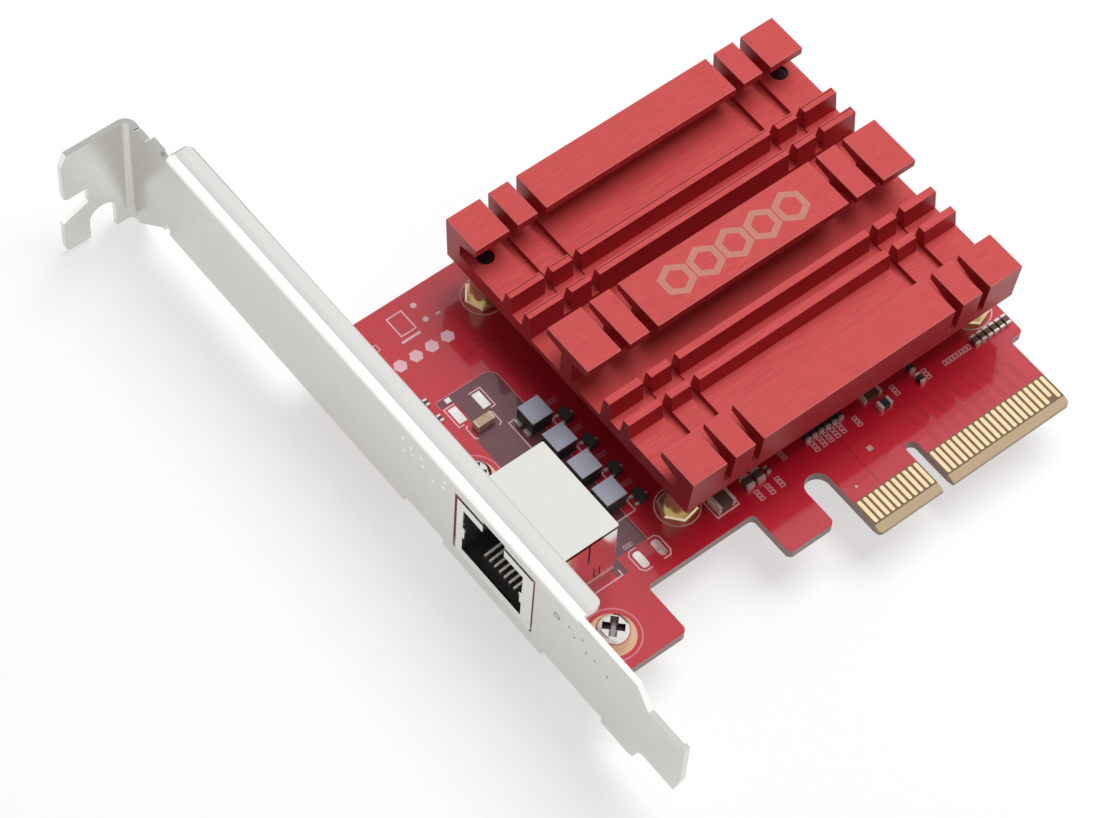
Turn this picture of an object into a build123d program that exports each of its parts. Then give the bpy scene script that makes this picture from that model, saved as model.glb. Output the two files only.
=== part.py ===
from build123d import *
import os

os.makedirs("parts", exist_ok=True)

# The card lies with its component side up. X runs along the edge connector, away from the
# bracket, Y runs up from the edge connector, and Z is the height above the component side.
# The origin is the centre line of the key notch, on the board's bottom edge. All in millimetres.

# Clearances
pin_gap = 0.06  # around screws, pins and wires in their holes
wall_gap = 0.05  # between the jack's shield and its insert
window_gap = 0.15  # below the jack in the bracket's window
window_side_gap = 0.4  # beside the jack
window_roof_gap = 0.55  # above the jack

# Board
board_thick = 1.57
board_right = 24.65
board_top = 68.4
board_inset = 0.4  # from the bracket's inner face to the board's left edge
shoulder = 12.4  # lower edge of the board beside its tabs
board_round = 0.7
finger_left = -12.15
finger_right = 22.15
key_width = 1.9
key_top = 8.4
bevel_rise = 1.25
bevel_depth = 0.45
hook_left = -24.0
hook_right = -16.1
hook_low = 4.8
slot_top = 12.45
screw_tab_right = -42.3
screw_tab_low = 4.0
board_tab_round = 0.9
finger_round = 0.6
tab_inner_round = 0.8
back = -board_thick

# Edge contacts, in two groups on both sides of the key notch
contact_pitch = 1.0
contact_width = 0.6
contact_low = 1.5
contact_high = 5.42
contact_short = 0.75  # how much later the presence contact starts
contact_thick = 0.05
contact_round = 0.21
contact_near = 1.5  # first contact on either side of the key notch
contacts_left = 11
contacts_right = 21

# Bracket sheet
sheet = 0.86
bend_inner = 0.34
face_x = -58.84
bracket_low = -2.71
bracket_width = 18.42
flange_seat = 106.05
tongue_tip = -13.97
tongue_low = 0.7
tongue_high = 12.3
shoulder_low = -3.9  # where the lower edge turns in to the tongue
shoulder_high = -4.27  # where the top edge is cut off at a slant
slant_run = 2.6
curve_run = 3.3
curve_ease = 0.3
tip_run = 1.05
tip_rise = 0.75
tip_lip = 0.7
tip_corner = 3.9
neck_high = 14.1
neck_high_start = 100.6
neck_step = 1.0
neck_low = -8.2
neck_low_start = 98.6
neck_low_end = 104.3
relief_width = 1.1
relief_depth = 1.6
relief_top = 0.7
fold_low = 7.5
fold_high = 96.9
fold_reach = 4.04
fold_round = 1.1
flange_bend = 1.0
flange_reach = 11.0  # from the face to the end of the flange's upper part
flange_hook = 0.35  # how much further the lower hook reaches
flange_cut = 2.0
slot_high = 4.25
slot_round = 0.5
slot_end = 7.1
slot_low = 1.1
slot_drop = 1.6
screw_notch_r = 2.2
screw_notch_x = 4.96
screw_notch_z = -3.8
hook_bottom = -7.5
hook_round = 1.0
tab_spans = ((1.4, 14.0), (34.9, 43.4))
tab_neck = 4.0  # from the face to where the lower tab gets narrower
tab_inset = 3.2  # how much narrower, so that the board hides it
tab_reach = 12.4
tab_round = 1.5
window_latch_rise = 1.15

# Bracket screws
screw_x = -50.56
screw_ys = (9.4, 38.8)
screw_thread = 1.45
screw_head_r = 2.35
screw_head_h = 2.3
screw_head_round = 0.9
screw_tip = 0.4
land_outer = 3.25
land_thick = 0.05
recess_width = 1.1
recess_reach = 1.55
recess_depth = 1.3
recess_taper = 12

# Heat sink, symmetric about its own centre
sink_x = -5.2
sink_y = 40.75
sink_length = 57.6
sink_base = 6.7
sink_top = 14.45
sink_half = 26.25
sink_draft = 0.6
bar_width = 6.6
bar_wall = 3.2
lip_tip = 1.45
lip_slope = 1.1
centre_half = 4.3
centre_stem = 1.15
centre_slope = 0.6
fin_height = 2.25  # below the top of the bars
fin_outer = 12.55
fin_inner = 8.45
fin_tip = 1.15
fin_root = 2.1
floor_side = 9.5
floor_pair = 8.9
floor_centre = 7.8
slot_floor = 8.6
cross_gap = 1.45
corner_length = 5.75
small_length = 3.4
pad_side = 20.0
edge_break = 0.12

# Standoffs and their screws
post_inset_x = 2.69  # from the heat sink's ends to the middle of the posts
post_dy = 21.05
post_shift = 0.25  # how much lower the posts lie than evenly under the heat sink
post_across = 5.0  # of the hexagonal foot
post_foot = 0.8  # the foot's height
post_bevel = 0.25
post_stem_r = 1.95
post_turns = (11, -9, 19, 4)  # how far each post is turned, in degrees
post_hole = 1.3
post_tip = 0.35  # from the floor of the side channel down to the screw's tip
sink_screw_head_r = 2.4
sink_screw_head_h = 1.6
sink_screw_head_round = 0.72

# Jack
jack_left = -58.9
jack_right = -44.65
jack_y = 24.45
jack_width = 15.9
jack_height = 12.7
tin = 0.25
port_y = 24.7
port_width = 12.4
port_sill = 1.5  # lower edge of the opening in the shield
port_floor = 1.0  # floor of the socket behind it
port_roof = 1.5  # from the top of the shield down to the socket's roof
port_depth = 11.4
latch_width = 4.5
latch_depth = 7.5
latch_cutback = 1.0  # how far the shield's top is cut back over the latch
step_width = 0.4
step_low = 4.5
step_high = 7.0
wire_count = 8
wire_pitch = 1.03
wire_width = 0.32
wire_thick = 0.34
wire_tip = 1.9  # from the jack's front to the wires' ends
wire_tip_z = 1.2
wire_high = 2.8
wire_inset = 1.95  # from the jack's rear to the front row of pins
wire_stagger = 1.2
pin_length = 1.35  # below the board
peg_r = 1.6
peg_dy = 5.72
peg_x = -53.6
peg_length = 1.4
leg_x = -51.6
leg_width = 1.2
leg_length = 1.2
seam_x = -49.45
seam_depth = 4.6
seam_width = 0.3
lance_x = -47.8
lance_z = 3.8
lance_width = 1.1
lance_height = 2.2
lance_gap = 0.2  # around the tongue that is left in each lance

# Line transformers and surge diodes
line_pitch = 5.3
line_top_y = 41.4
line_count = 4
core_x = -38.3
core_dx = 3.4
core_dy = 3.4
core_h = 2.65
plate_h = 0.25
terminal_dx = 0.55
terminal_dy = 1.1
terminal_h = 0.3
terminal_pitch = 1.9
diode_x = -34.5
diode_drop = 1.9  # how far each diode lies below its transformer
diode_dx = 1.3
diode_dy = 2.0
diode_h = 0.95
diode_lead_pitch = 0.65

# Controller and its thermal pad, under the middle of the heat sink
chip_side = 17.0
ball_h = 0.4
ball_r = 0.35
ball_pitch = 1.5
ball_rows = 10
substrate_h = 0.8
lid_h = 0.9
lid_inset = 0.8
thermal_h = 0.5
thermal_inset = 1.2

# Leads of the flat chips: width, thickness and reach
lead_width = 0.4
lead_thick = 0.18
lead_reach = 0.6

# Chip part sizes: length, width, height and the length of each end cap
size_small = (1.1, 0.6, 0.5, 0.3)
size_medium = (1.6, 0.8, 0.8, 0.35)
size_large = (2.0, 1.25, 1.0, 0.45)
size_long = (3.2, 1.5, 0.8, 0.5)
size_bulk = (2.9, 1.3, 1.25, 0.3)
size_filter = (2.9, 2.5, 1.5, 0.5)

# Single chip parts: the middle of each
bulk_x = -44.05
bulk_y = 45.1
filter_dx = 4.96  # to the right of the lower left post
filter_drop = 3.15  # below the same post
pair_left_dx = 4.65  # to the right of the filter inductor
pair_left_rise = 0.2
pair_left_pitch = 1.85
next_dx = 1.65  # from the pair to the small part beside it
large_x = 1.25
large_y = 14.8
long_x = 0.78
long_y = 17.3
pair_mid_x = 7.9
pair_mid_y = 15.0
pair_mid_pitch = 2.2
pair_top_x = -48.3
pair_top_y = 49.2
pair_top_pitch = 3.1

# Rows of chip parts: where each starts, its pitch and its count
row_left_x = -10.75
row_left_y = 17.3
row_left_pitch = 1.16
row_left_count = 6
row_right_x = 18.1
row_right_y = 15.1
row_right_pitch = 1.12
row_right_count = 6
around_x = -17.5  # two rows, below and above the controller
around_low = 29.2
around_high = 52.3
around_pitch = 1.8
around_count = 14
column_left = -17.2  # two columns, left and right of the controller
column_right = 6.8
column_low = 32.0
column_pitch = 3.4
column_count = 6
top_row_gap = 3.71  # from the posts to the first and the last part of the row
top_row_edge = 2.4  # below the board's top edge
top_row_count = 8

# Bare tinned pads: the middle of each pair, half the way between the two, and their sides
pad_top_x = -44.0
pad_top_y = 48.34
pad_top_half = 2.02
pad_top_dx = 1.3
pad_top_dy = 2.72
pad_low_x = -38.85
pad_low_y = 16.0
pad_low_half = 1.55
pad_low_dx = 1.2
pad_low_dy = 2.7
pad_low_round = 0.45
pad_small = 0.8
pad_single_left_x = -45.65
pad_single_left_y = 50.95
pad_single_mid_x = -4.75
pad_single_mid_y = 10.85
pad_thick = 0.05

# Parts between the board and the heat sink: centre x, centre y, size x, size y, height
crystal_box = (12.5, 28.5, 3.2, 2.5, 0.8)
memory_box = (13.5, 53.5, 5.3, 5.0, 1.7)
memory_leads_count = 4
memory_pitch = 1.27
inductor_side = 4.2
inductor_h = 2.1
inductor_places = [(-24.5, 30.5), (-24.5, 40.5), (-24.5, 50.5), (15.5, 40.5)]
regulator_side = 3.0
regulator_h = 0.9
regulator_places = [(-24.5, 35.5), (-24.5, 45.5), (15.5, 35.0)]
regulator_leads_count = 3
regulator_pitch = 0.8

# Derived places
jack_low = jack_y - jack_width / 2
jack_high = jack_y + jack_width / 2
face_in = face_x + sheet
board_left = face_in + board_inset
bend_outer = bend_inner + sheet
bracket_high = bracket_low + bracket_width
fold_end = face_x + fold_reach
flange_top = flange_seat + sheet
flange_end = face_x - flange_reach
hook_end = flange_end - flange_hook
notch_x = face_x - screw_notch_x
tab_low = back - sheet
tab_bend_end = tab_low + bend_outer + sheet
bend_start = bracket_high - bend_outer - sheet
window_low = jack_low - window_side_gap
window_high = jack_high + window_side_gap
window_floor = -window_gap
window_roof = jack_height + window_roof_gap
window_latch_low = port_y - latch_width / 2
window_latch_high = port_y + latch_width / 2
window_latch_roof = window_roof + window_latch_rise
post_dx = sink_length / 2 - post_inset_x
post_y = sink_y - post_shift
post_left = sink_x - post_dx
post_low = post_y - post_dy
post_places = [(sink_x + sx * post_dx, post_y + sy * post_dy) for sx in (-1, 1) for sy in (-1, 1)]
screw_places = [(screw_x, y) for y in screw_ys]
line_ys = [line_top_y - line_pitch * n for n in range(line_count)]
diode_ys = [y - diode_drop for y in line_ys]
wire_ys = [port_y + wire_pitch * (n - (wire_count - 1) / 2) for n in range(wire_count)]
wire_row = jack_right - wire_inset
wire_places = [(wire_row + wire_stagger * (n % 2), y) for n, y in enumerate(wire_ys)]
peg_places = [(peg_x, jack_y + side * peg_dy) for side in (-1, 1)]
leg_offset = jack_width / 2 - tin / 2
leg_places = [(leg_x, jack_y + side * leg_offset) for side in (-1, 1)]
leg_hole = leg_width / 2 + pin_gap
insert_left = jack_left + tin
insert_right = jack_right - tin - wall_gap
port_low = port_y - port_width / 2
port_high = jack_height - port_roof
port_right = port_y + port_width / 2
port_end = insert_left + port_depth
lid_top = ball_h + substrate_h + lid_h
pedestal_low = lid_top + thermal_h
fin_top = sink_top - fin_height
lip_low = sink_top - lip_tip
screw_r = post_hole - pin_gap

# Where chip parts lie: x, y, and whether they lie along y
bulk_places = [(bulk_x, bulk_y, False)]
filter_x = post_left + filter_dx
filter_y = post_low - filter_drop
filter_places = [(filter_x, filter_y, False)]
pair_left_x = filter_x + pair_left_dx
pair_left_y = filter_y + pair_left_rise
top_row_x = post_left + top_row_gap
top_row_y = board_top - top_row_edge
top_row_pitch = 2 * (post_dx - top_row_gap) / (top_row_count - 1)
row_left = [(row_left_x + row_left_pitch * n, row_left_y, True) for n in range(row_left_count)]
row_right = [(row_right_x + row_right_pitch * n, row_right_y, True) for n in range(row_right_count)]
around_xs = [around_x + around_pitch * n for n in range(around_count)]
column_ys = [column_low + column_pitch * n for n in range(column_count)]
pair_left = [(pair_left_x + pair_left_pitch * n, pair_left_y, True) for n in range(2)]
pair_left_next = (pair_left[-1][0] + next_dx, pair_left_y, True)
pair_mid = [(pair_mid_x, pair_mid_y + pair_mid_pitch * n, True) for n in range(2)]
pair_top = [(pair_top_x, pair_top_y + pair_top_pitch * n, True) for n in range(2)]
small_resistor_places = [(x, around_high, True) for x in around_xs]
medium_resistor_places = row_left + pair_mid
large_resistor_places = [(large_x, large_y, False)]
small_cap_places = [pair_left_next, *pair_top, *[(x, around_low, True) for x in around_xs]]
large_cap_places = pair_left
long_cap_places = [(long_x, long_y, False)]
medium_cap_places = [(x, y, True) for y in column_ys for x in (column_left, column_right)]
medium_cap_places += [(top_row_x + top_row_pitch * n, top_row_y, False) for n in range(top_row_count)]
medium_cap_places += row_right


def span(x0, x1, y0, y1, mode=Mode.ADD):
    """Adds or cuts the rectangle between two x and two y values in the open sketch."""
    with Locations(((x0 + x1) / 2, (y0 + y1) / 2)):
        Rectangle(x1 - x0, y1 - y0, mode=mode)


def block(x0, x1, y0, y1, z0, z1, mode=Mode.ADD):
    """Adds or cuts the box between two corners in the open part."""
    with Locations(((x0 + x1) / 2, (y0 + y1) / 2, (z0 + z1) / 2)):
        Box(x1 - x0, y1 - y0, z1 - z0, mode=mode)


def at(items, axis, value):
    """Keeps the corners or edges that lie at one position along an axis."""
    return items.filter_by_position(axis, value - 0.01, value + 0.01)


def crosses(places):
    """Adds the cross recesses of screws in the open sketch, with their arms on the diagonals."""
    with Locations(*places):
        for turn in (45, -45):
            Rectangle(2 * recess_reach, recess_width, rotation=turn)


def side_leads(x, y, half, count, pitch, sides=(-1, 1)):
    """Adds flat leads at the left and right sides of a chip that is 2 * half wide."""
    for side in sides:
        for n in range(count):
            lead_y = y + (n - (count - 1) / 2) * pitch
            lead_x = x + side * (half + lead_reach / 2)
            with Locations((lead_x, lead_y, lead_thick / 2)):
                Box(lead_reach, lead_width, lead_thick)


def chip_boxes(places, size, ends):
    """Adds the bodies, or the end caps, of chip parts lying along x or y at the places."""
    length, width, height, cap = size
    for x, y, along_y in places:
        turn = 90 if along_y else 0
        with Locations(Location((x, y, height / 2), (0, 0, turn))):
            if ends:
                with Locations(*[(side * (length - cap) / 2, 0, 0) for side in (-1, 1)]):
                    Box(cap, width, height)
            else:
                Box(length - 2 * cap, width, height)


# Board: the main outline with its finger tab, hook tab and screw tab
with BuildPart() as pcb:
    with BuildSketch(Plane.XY.offset(back)):
        span(board_left, board_right, shoulder, board_top)
        fillet(vertices().group_by(Axis.X)[-1], board_round)
        span(finger_left, finger_right, 0, shoulder)
        fillet(vertices().group_by(Axis.Y)[0], finger_round)
        span(hook_left, hook_right, hook_low, shoulder)
        fillet(at(vertices(), Axis.Y, hook_low), board_tab_round)
        span(board_left, screw_tab_right, screw_tab_low, shoulder)
        fillet(at(vertices(), Axis.Y, screw_tab_low).sort_by(Axis.X)[-1], board_tab_round)
        for x in (screw_tab_right, hook_left, finger_right):
            fillet(at(at(vertices(), Axis.X, x), Axis.Y, shoulder), tab_inner_round)
        with Locations((0, key_top - key_width / 2)):
            Circle(key_width / 2, mode=Mode.SUBTRACT)
        span(-key_width / 2, key_width / 2, 0, key_top - key_width / 2, Mode.SUBTRACT)
        slot_r = (finger_left - hook_right) / 2
        span(hook_right, finger_left, slot_top - slot_r, slot_top)
        with Locations((hook_right + slot_r, slot_top - slot_r)):
            Circle(slot_r, mode=Mode.SUBTRACT)
        span(hook_right, finger_left, 0, slot_top - slot_r, Mode.SUBTRACT)
        with Locations(*post_places):
            Circle(post_hole, mode=Mode.SUBTRACT)
        with Locations(*screw_places):
            Circle(screw_thread + pin_gap, mode=Mode.SUBTRACT)
        with Locations(*wire_places):
            Circle(wire_width / 2 + 2 * pin_gap, mode=Mode.SUBTRACT)
        with Locations(*peg_places):
            Circle(peg_r + pin_gap, mode=Mode.SUBTRACT)
        with Locations(*leg_places):
            Circle(leg_hole, mode=Mode.SUBTRACT)
    extrude(amount=board_thick)
    # The bevel on both faces of the edge that goes into the slot
    with BuildSketch(Plane.YZ.offset(finger_left)):
        for z, depth in ((0, -bevel_depth), (back, bevel_depth)):
            with BuildLine():
                Polyline((0, z), (bevel_rise, z), (0, z + depth), close=True)
            make_face()
    extrude(amount=finger_right - finger_left, mode=Mode.SUBTRACT)

# Edge contacts: B side above the board, A side below it, one shorter presence contact each
contact_xs = [-contact_near - contact_pitch * n for n in range(contacts_left)]
contact_xs += [contact_near + contact_pitch * n for n in range(contacts_right)]


def contacts(short_x):
    """Adds one side's contacts in the open sketch; the one at short_x starts later."""
    for x in contact_xs:
        low = contact_low + (contact_short if abs(x - short_x) < contact_pitch / 2 else 0)
        span(x - contact_width / 2, x + contact_width / 2, low, contact_high)


with BuildPart() as edge_contacts_front:
    with BuildSketch(Plane.XY):
        contacts(max(contact_xs) - contact_pitch)
    extrude(amount=contact_thick)
    fillet(edges().filter_by(Axis.Z), contact_round)

with BuildPart() as edge_contacts_back:
    with BuildSketch(Plane.XY.offset(back - contact_thick)):
        contacts(min(contact_xs))
    extrude(amount=contact_thick)
    fillet(edges().filter_by(Axis.Z), contact_round)

# Bracket: one sheet. The flange comes first, as an angle strip that its outline then trims
with BuildPart() as flange:
    with BuildSketch(Plane.XY.offset(neck_low)):
        span(face_x, face_in, neck_low_end, flange_top)
        span(hook_end, face_in, flange_seat, flange_top)
        outer_corner = at(at(vertices(), Axis.X, face_in), Axis.Y, flange_top)
        fillet(outer_corner, flange_bend + sheet)
        inner_corner = at(at(vertices(), Axis.X, face_x), Axis.Y, flange_seat)
        fillet(inner_corner, flange_bend)
    extrude(amount=neck_high - neck_low)
    with BuildSketch(Plane.XZ.offset(-flange_top)):
        with BuildLine():
            Polyline(
                (notch_x + screw_notch_r, screw_notch_z),
                (notch_x + screw_notch_r, neck_low),
                (face_in, neck_low),
                (face_in, neck_high),
                (flange_end + flange_cut / 2, neck_high),
                (flange_end, neck_high - flange_cut),
                (flange_end, slot_high + slot_round),
                (flange_end + slot_round, slot_high),
                (face_x - slot_end, slot_high),
                (face_x - slot_end, slot_low),
                (flange_end + flange_hook, slot_low - slot_drop),
                (hook_end, slot_low - slot_drop - flange_hook),
                (hook_end, hook_bottom),
                (notch_x - screw_notch_r, hook_bottom),
                (notch_x - screw_notch_r, screw_notch_z),
            )
            ThreePointArc(
                (notch_x - screw_notch_r, screw_notch_z),
                (notch_x, screw_notch_z + screw_notch_r),
                (notch_x + screw_notch_r, screw_notch_z),
            )
        make_face()
        fillet(at(vertices(), Axis.Y, hook_bottom).sort_by(Axis.X)[0], hook_round)
    extrude(amount=flange_top - neck_low_end, mode=Mode.INTERSECT)

with BuildPart() as bracket:
    # The flat face, drawn with y to the right and z up
    with BuildSketch(Plane.YZ.offset(face_x)):
        with BuildLine():
            Polyline(
                (shoulder_low, bracket_low),
                (neck_low_start, bracket_low),
                (neck_low_end, neck_low),
                (neck_low_end, neck_high),
                (neck_high_start + neck_step, neck_high),
                (neck_high_start, bracket_high),
                (shoulder_high, bracket_high),
                (shoulder_high - slant_run, tongue_high),
                (tongue_tip + tip_run, tongue_high),
                (tongue_tip + tip_rise, tongue_high + tip_lip),
                (tongue_tip, tongue_high + tip_lip),
                (tongue_tip, tongue_low + tip_corner),
                (tongue_tip + tip_run, tongue_low),
                (shoulder_low - curve_run, tongue_low),
            )
            Bezier(
                (shoulder_low - curve_run, tongue_low),
                (shoulder_low - curve_ease * curve_run, tongue_low),
                (shoulder_low - (1 - curve_ease) * curve_run, bracket_low),
                (shoulder_low, bracket_low),
            )
        make_face()
        fillet(at(vertices(), Axis.Y, neck_high), neck_step / 2)
        # Room for the folded strip, its relief notch and the two tabs under the board
        span(fold_low, fold_high, bend_start, bracket_high, Mode.SUBTRACT)
        relief_end = fold_high + relief_width
        span(fold_high, relief_end, bracket_high - relief_top, bracket_high, Mode.SUBTRACT)
        with Locations((fold_high + relief_width / 2, bracket_low)):
            SlotOverall(2 * relief_depth, relief_width, 90, mode=Mode.SUBTRACT)
        for low, high in tab_spans:
            span(low, high, bracket_low, tab_bend_end, Mode.SUBTRACT)
        # The window for the jack, with its latch notch
        span(window_low, window_high, window_floor, window_roof, Mode.SUBTRACT)
        span(window_latch_low, window_latch_high, window_floor, window_latch_roof, Mode.SUBTRACT)
    extrude(amount=sheet)
    # The strip folded over the top edge of the board side
    with BuildSketch(Plane.XZ.offset(-fold_high)):
        span(face_x, face_in, bend_start, bracket_high)
        span(face_x, fold_end, bracket_high - sheet, bracket_high)
        fillet(at(at(vertices(), Axis.X, face_x), Axis.Y, bracket_high), bend_outer)
        fillet(at(at(vertices(), Axis.X, face_in), Axis.Y, bracket_high - sheet), bend_inner)
    extrude(amount=fold_high - fold_low)
    fillet(at(edges().filter_by(Axis.Z), Axis.X, fold_end), fold_round)
    # The tabs under the board, with their tapped holes
    for low, high in tab_spans:
        with BuildSketch(Plane.XZ.offset(-high)):
            span(face_x, face_in, tab_low, tab_bend_end)
            span(face_x, face_x + tab_reach, tab_low, back)
            fillet(at(at(vertices(), Axis.X, face_x), Axis.Y, tab_low), bend_outer)
            fillet(at(at(vertices(), Axis.X, face_in), Axis.Y, back), bend_inner)
        extrude(amount=high - low)
    low, neck_x, end_x = tab_spans[0][0], face_x + tab_neck, face_x + tab_reach
    block(neck_x, end_x, low, low + tab_inset, tab_low, back, Mode.SUBTRACT)
    fillet(at(edges().filter_by(Axis.Z), Axis.X, end_x), tab_round)
    with Locations(*[(x, y, back) for x, y in screw_places]):
        Hole(screw_thread + pin_gap, depth=2 * sheet)
    add(flange.part)

# Gold lands under the heads of the bracket screws, and bare tinned pads
with BuildPart() as screw_lands:
    with BuildSketch(Plane.XY):
        with Locations(*screw_places):
            Circle(land_outer)
            Circle(screw_thread + pin_gap, mode=Mode.SUBTRACT)
        span(board_left - land_outer, board_left, 0, board_top, Mode.SUBTRACT)
    extrude(amount=land_thick)

with BuildPart() as solder_pads:
    with BuildSketch(Plane.XY):
        with Locations((pad_top_x - pad_top_half, pad_top_y), (pad_top_x + pad_top_half, pad_top_y)):
            Rectangle(pad_top_dx, pad_top_dy)
        with Locations((pad_low_x - pad_low_half, pad_low_y), (pad_low_x + pad_low_half, pad_low_y)):
            RectangleRounded(pad_low_dx, pad_low_dy, pad_low_round)
        with Locations(
            (pad_single_left_x, pad_single_left_y),
            (pad_single_mid_x, pad_single_mid_y),
        ):
            Rectangle(pad_small, pad_small)
    extrude(amount=pad_thick)

# Bracket screws: pan heads with cross recesses, threaded into the tabs under the board
with BuildPart() as bracket_screws:
    with BuildSketch(Plane.XY.offset(land_thick)):
        with Locations(*screw_places):
            Circle(screw_head_r)
    extrude(amount=screw_head_h)
    fillet(edges().group_by(Axis.Z)[-1], screw_head_round)
    with BuildSketch(Plane.XY.offset(tab_low - screw_tip)):
        with Locations(*screw_places):
            Circle(screw_thread)
    extrude(amount=land_thick - tab_low + screw_tip)
    with BuildSketch(Plane.XY.offset(land_thick + screw_head_h)):
        crosses(screw_places)
    extrude(amount=-recess_depth, taper=recess_taper, mode=Mode.SUBTRACT)

# Heat sink: one profile along x, then the cross slots, the screw holes and the pedestal
sink_profile = [
    (0, sink_base),
    (sink_half - sink_draft, sink_base),
    (sink_half, sink_top),
    (sink_half - bar_width, sink_top),
    (sink_half - bar_width, lip_low),
    (sink_half - bar_wall, lip_low - lip_slope),
    (sink_half - bar_wall, floor_side),
    (fin_outer + fin_root / 2, floor_side),
    (fin_outer + fin_tip / 2, fin_top),
    (fin_outer - fin_tip / 2, fin_top),
    (fin_outer - fin_root / 2, floor_pair),
    (fin_inner + fin_root / 2, floor_pair),
    (fin_inner + fin_tip / 2, fin_top),
    (fin_inner - fin_tip / 2, fin_top),
    (fin_inner - fin_root / 2, floor_centre),
    (centre_stem, floor_centre),
    (centre_stem, lip_low - centre_slope),
    (centre_half, lip_low),
    (centre_half, sink_top),
    (0, sink_top),
]
sink_left = sink_x - sink_length / 2
sink_start = Plane(origin=(sink_left, sink_y, 0), x_dir=(0, 1, 0), z_dir=(1, 0, 0))

with BuildPart() as heat_sink:
    with BuildSketch(sink_start):
        with BuildLine():
            Polyline(*sink_profile, close=True)
        make_face()
        mirror(about=Plane.YZ)
    extrude(amount=sink_length)
    for side in (-1, 1):
        for start in (corner_length, corner_length + cross_gap + small_length):
            outer = sink_x + side * (sink_length / 2 - start)
            inner = outer - side * cross_gap
            y0, y1 = sink_y - sink_half, sink_y + sink_half
            block(min(outer, inner), max(outer, inner), y0, y1, slot_floor, sink_top, Mode.SUBTRACT)
    chamfer(edges().group_by(Axis.Z)[-1], edge_break)
    with BuildSketch(Plane.XY.offset(sink_base)):
        with Locations(*post_places):
            Circle(post_hole)
    extrude(amount=floor_side - sink_base, mode=Mode.SUBTRACT)
    half = pad_side / 2
    block(sink_x - half, sink_x + half, sink_y - half, sink_y + half, pedestal_low, sink_base)

# Standoffs, and the screws that come up through them from the solder side
turned_posts = [Location((x, y, 0), (0, 0, turn)) for (x, y), turn in zip(post_places, post_turns)]
with BuildPart() as standoffs:
    with BuildSketch(Plane.XY):
        with Locations(*turned_posts):
            RegularPolygon(post_across / 2, 6, major_radius=False)
    extrude(amount=post_foot)
    chamfer(edges().group_by(Axis.Z)[-1], post_bevel)
    with BuildSketch(Plane.XY):
        with Locations(*post_places):
            Circle(post_stem_r)
    extrude(amount=sink_base)
    with BuildSketch(Plane.XY):
        with Locations(*post_places):
            Circle(post_hole)
    extrude(amount=sink_base, mode=Mode.SUBTRACT)

with BuildPart() as heat_sink_screws:
    with BuildSketch(Plane.XY.offset(back - sink_screw_head_h)):
        with Locations(*post_places):
            Circle(sink_screw_head_r)
    extrude(amount=sink_screw_head_h)
    fillet(edges().group_by(Axis.Z)[0], sink_screw_head_round)
    with BuildSketch(Plane.XY.offset(back - sink_screw_head_h / 2)):
        with Locations(*post_places):
            Circle(screw_r)
    extrude(amount=floor_side - post_tip - back + sink_screw_head_h / 2)
    with BuildSketch(Plane.XY.offset(back - sink_screw_head_h)):
        crosses(post_places)
    extrude(amount=recess_depth, mode=Mode.SUBTRACT)

# Controller, from the board up: solder balls, substrate, lid and thermal pad
with BuildPart() as controller_balls:
    with BuildSketch(Plane.XY):
        with Locations((sink_x, sink_y)):
            with GridLocations(ball_pitch, ball_pitch, ball_rows, ball_rows):
                Circle(ball_r)
    extrude(amount=ball_h)


def chip_layer(side, low, height):
    """Adds one square layer of the controller's stack to the open part."""
    with Locations((sink_x, sink_y, low + height / 2)):
        Box(side, side, height)


with BuildPart() as controller_substrate:
    chip_layer(chip_side, ball_h, substrate_h)

with BuildPart() as controller_lid:
    chip_layer(chip_side - 2 * lid_inset, ball_h + substrate_h, lid_h)
    fillet(edges().filter_by(Axis.Z), lid_inset)

with BuildPart() as thermal_pad:
    chip_layer(chip_side - 2 * thermal_inset, lid_top, thermal_h)

# Jack: the folded tin shield, with its port, side seam, lance and legs
with BuildPart() as jack_shield:
    block(jack_left, jack_right, jack_low, jack_high, 0, jack_height)
    fillet(edges().filter_by(Axis.Z), tin)
    block(
        insert_left,
        jack_right - tin,
        jack_low + tin,
        jack_high - tin,
        0,
        jack_height - tin,
        Mode.SUBTRACT,
    )
    with BuildSketch(Plane.YZ.offset(jack_left)):
        span(port_low, port_right, port_sill, step_low)
        span(port_low + step_width, port_right - step_width, step_low, step_high)
        span(port_low, port_right, step_high, port_high)
        span(window_latch_low, window_latch_high, step_high, jack_height)
    extrude(amount=tin, mode=Mode.SUBTRACT)
    cut_end = jack_left + latch_cutback
    low, high = window_latch_low, window_latch_high
    block(jack_left, cut_end, low, high, port_high, jack_height, Mode.SUBTRACT)
    seam_x0, seam_x1 = seam_x - seam_width / 2, seam_x + seam_width / 2
    seam_top = jack_height - 2 * tin
    for side in (-1, 1):
        outer = jack_y + side * jack_width / 2
        inner = outer - side * tin
        y0, y1 = min(outer, inner), max(outer, inner)
        block(seam_x0, seam_x1, y0, y1, seam_top - seam_depth, seam_top, Mode.SUBTRACT)
        block(face_in, jack_right - tin, y0, y1, seam_top, seam_top + tin / 2, Mode.SUBTRACT)
        lance_x0, lance_x1 = lance_x - lance_width / 2, lance_x + lance_width / 2
        lance_z0, lance_z1 = lance_z - lance_height / 2, lance_z + lance_height / 2
        block(lance_x0, lance_x1, y0, y1, lance_z0, lance_z1, Mode.SUBTRACT)
        block(lance_x0 + lance_gap, lance_x1 - lance_gap, y0, y1, lance_z0 + lance_gap, lance_z1)
        leg_low = back - leg_length
        leg_x0, leg_x1 = leg_x - leg_width / 2, leg_x + leg_width / 2
        block(leg_x0, leg_x1, y0, y1, leg_low, 0)

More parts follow.
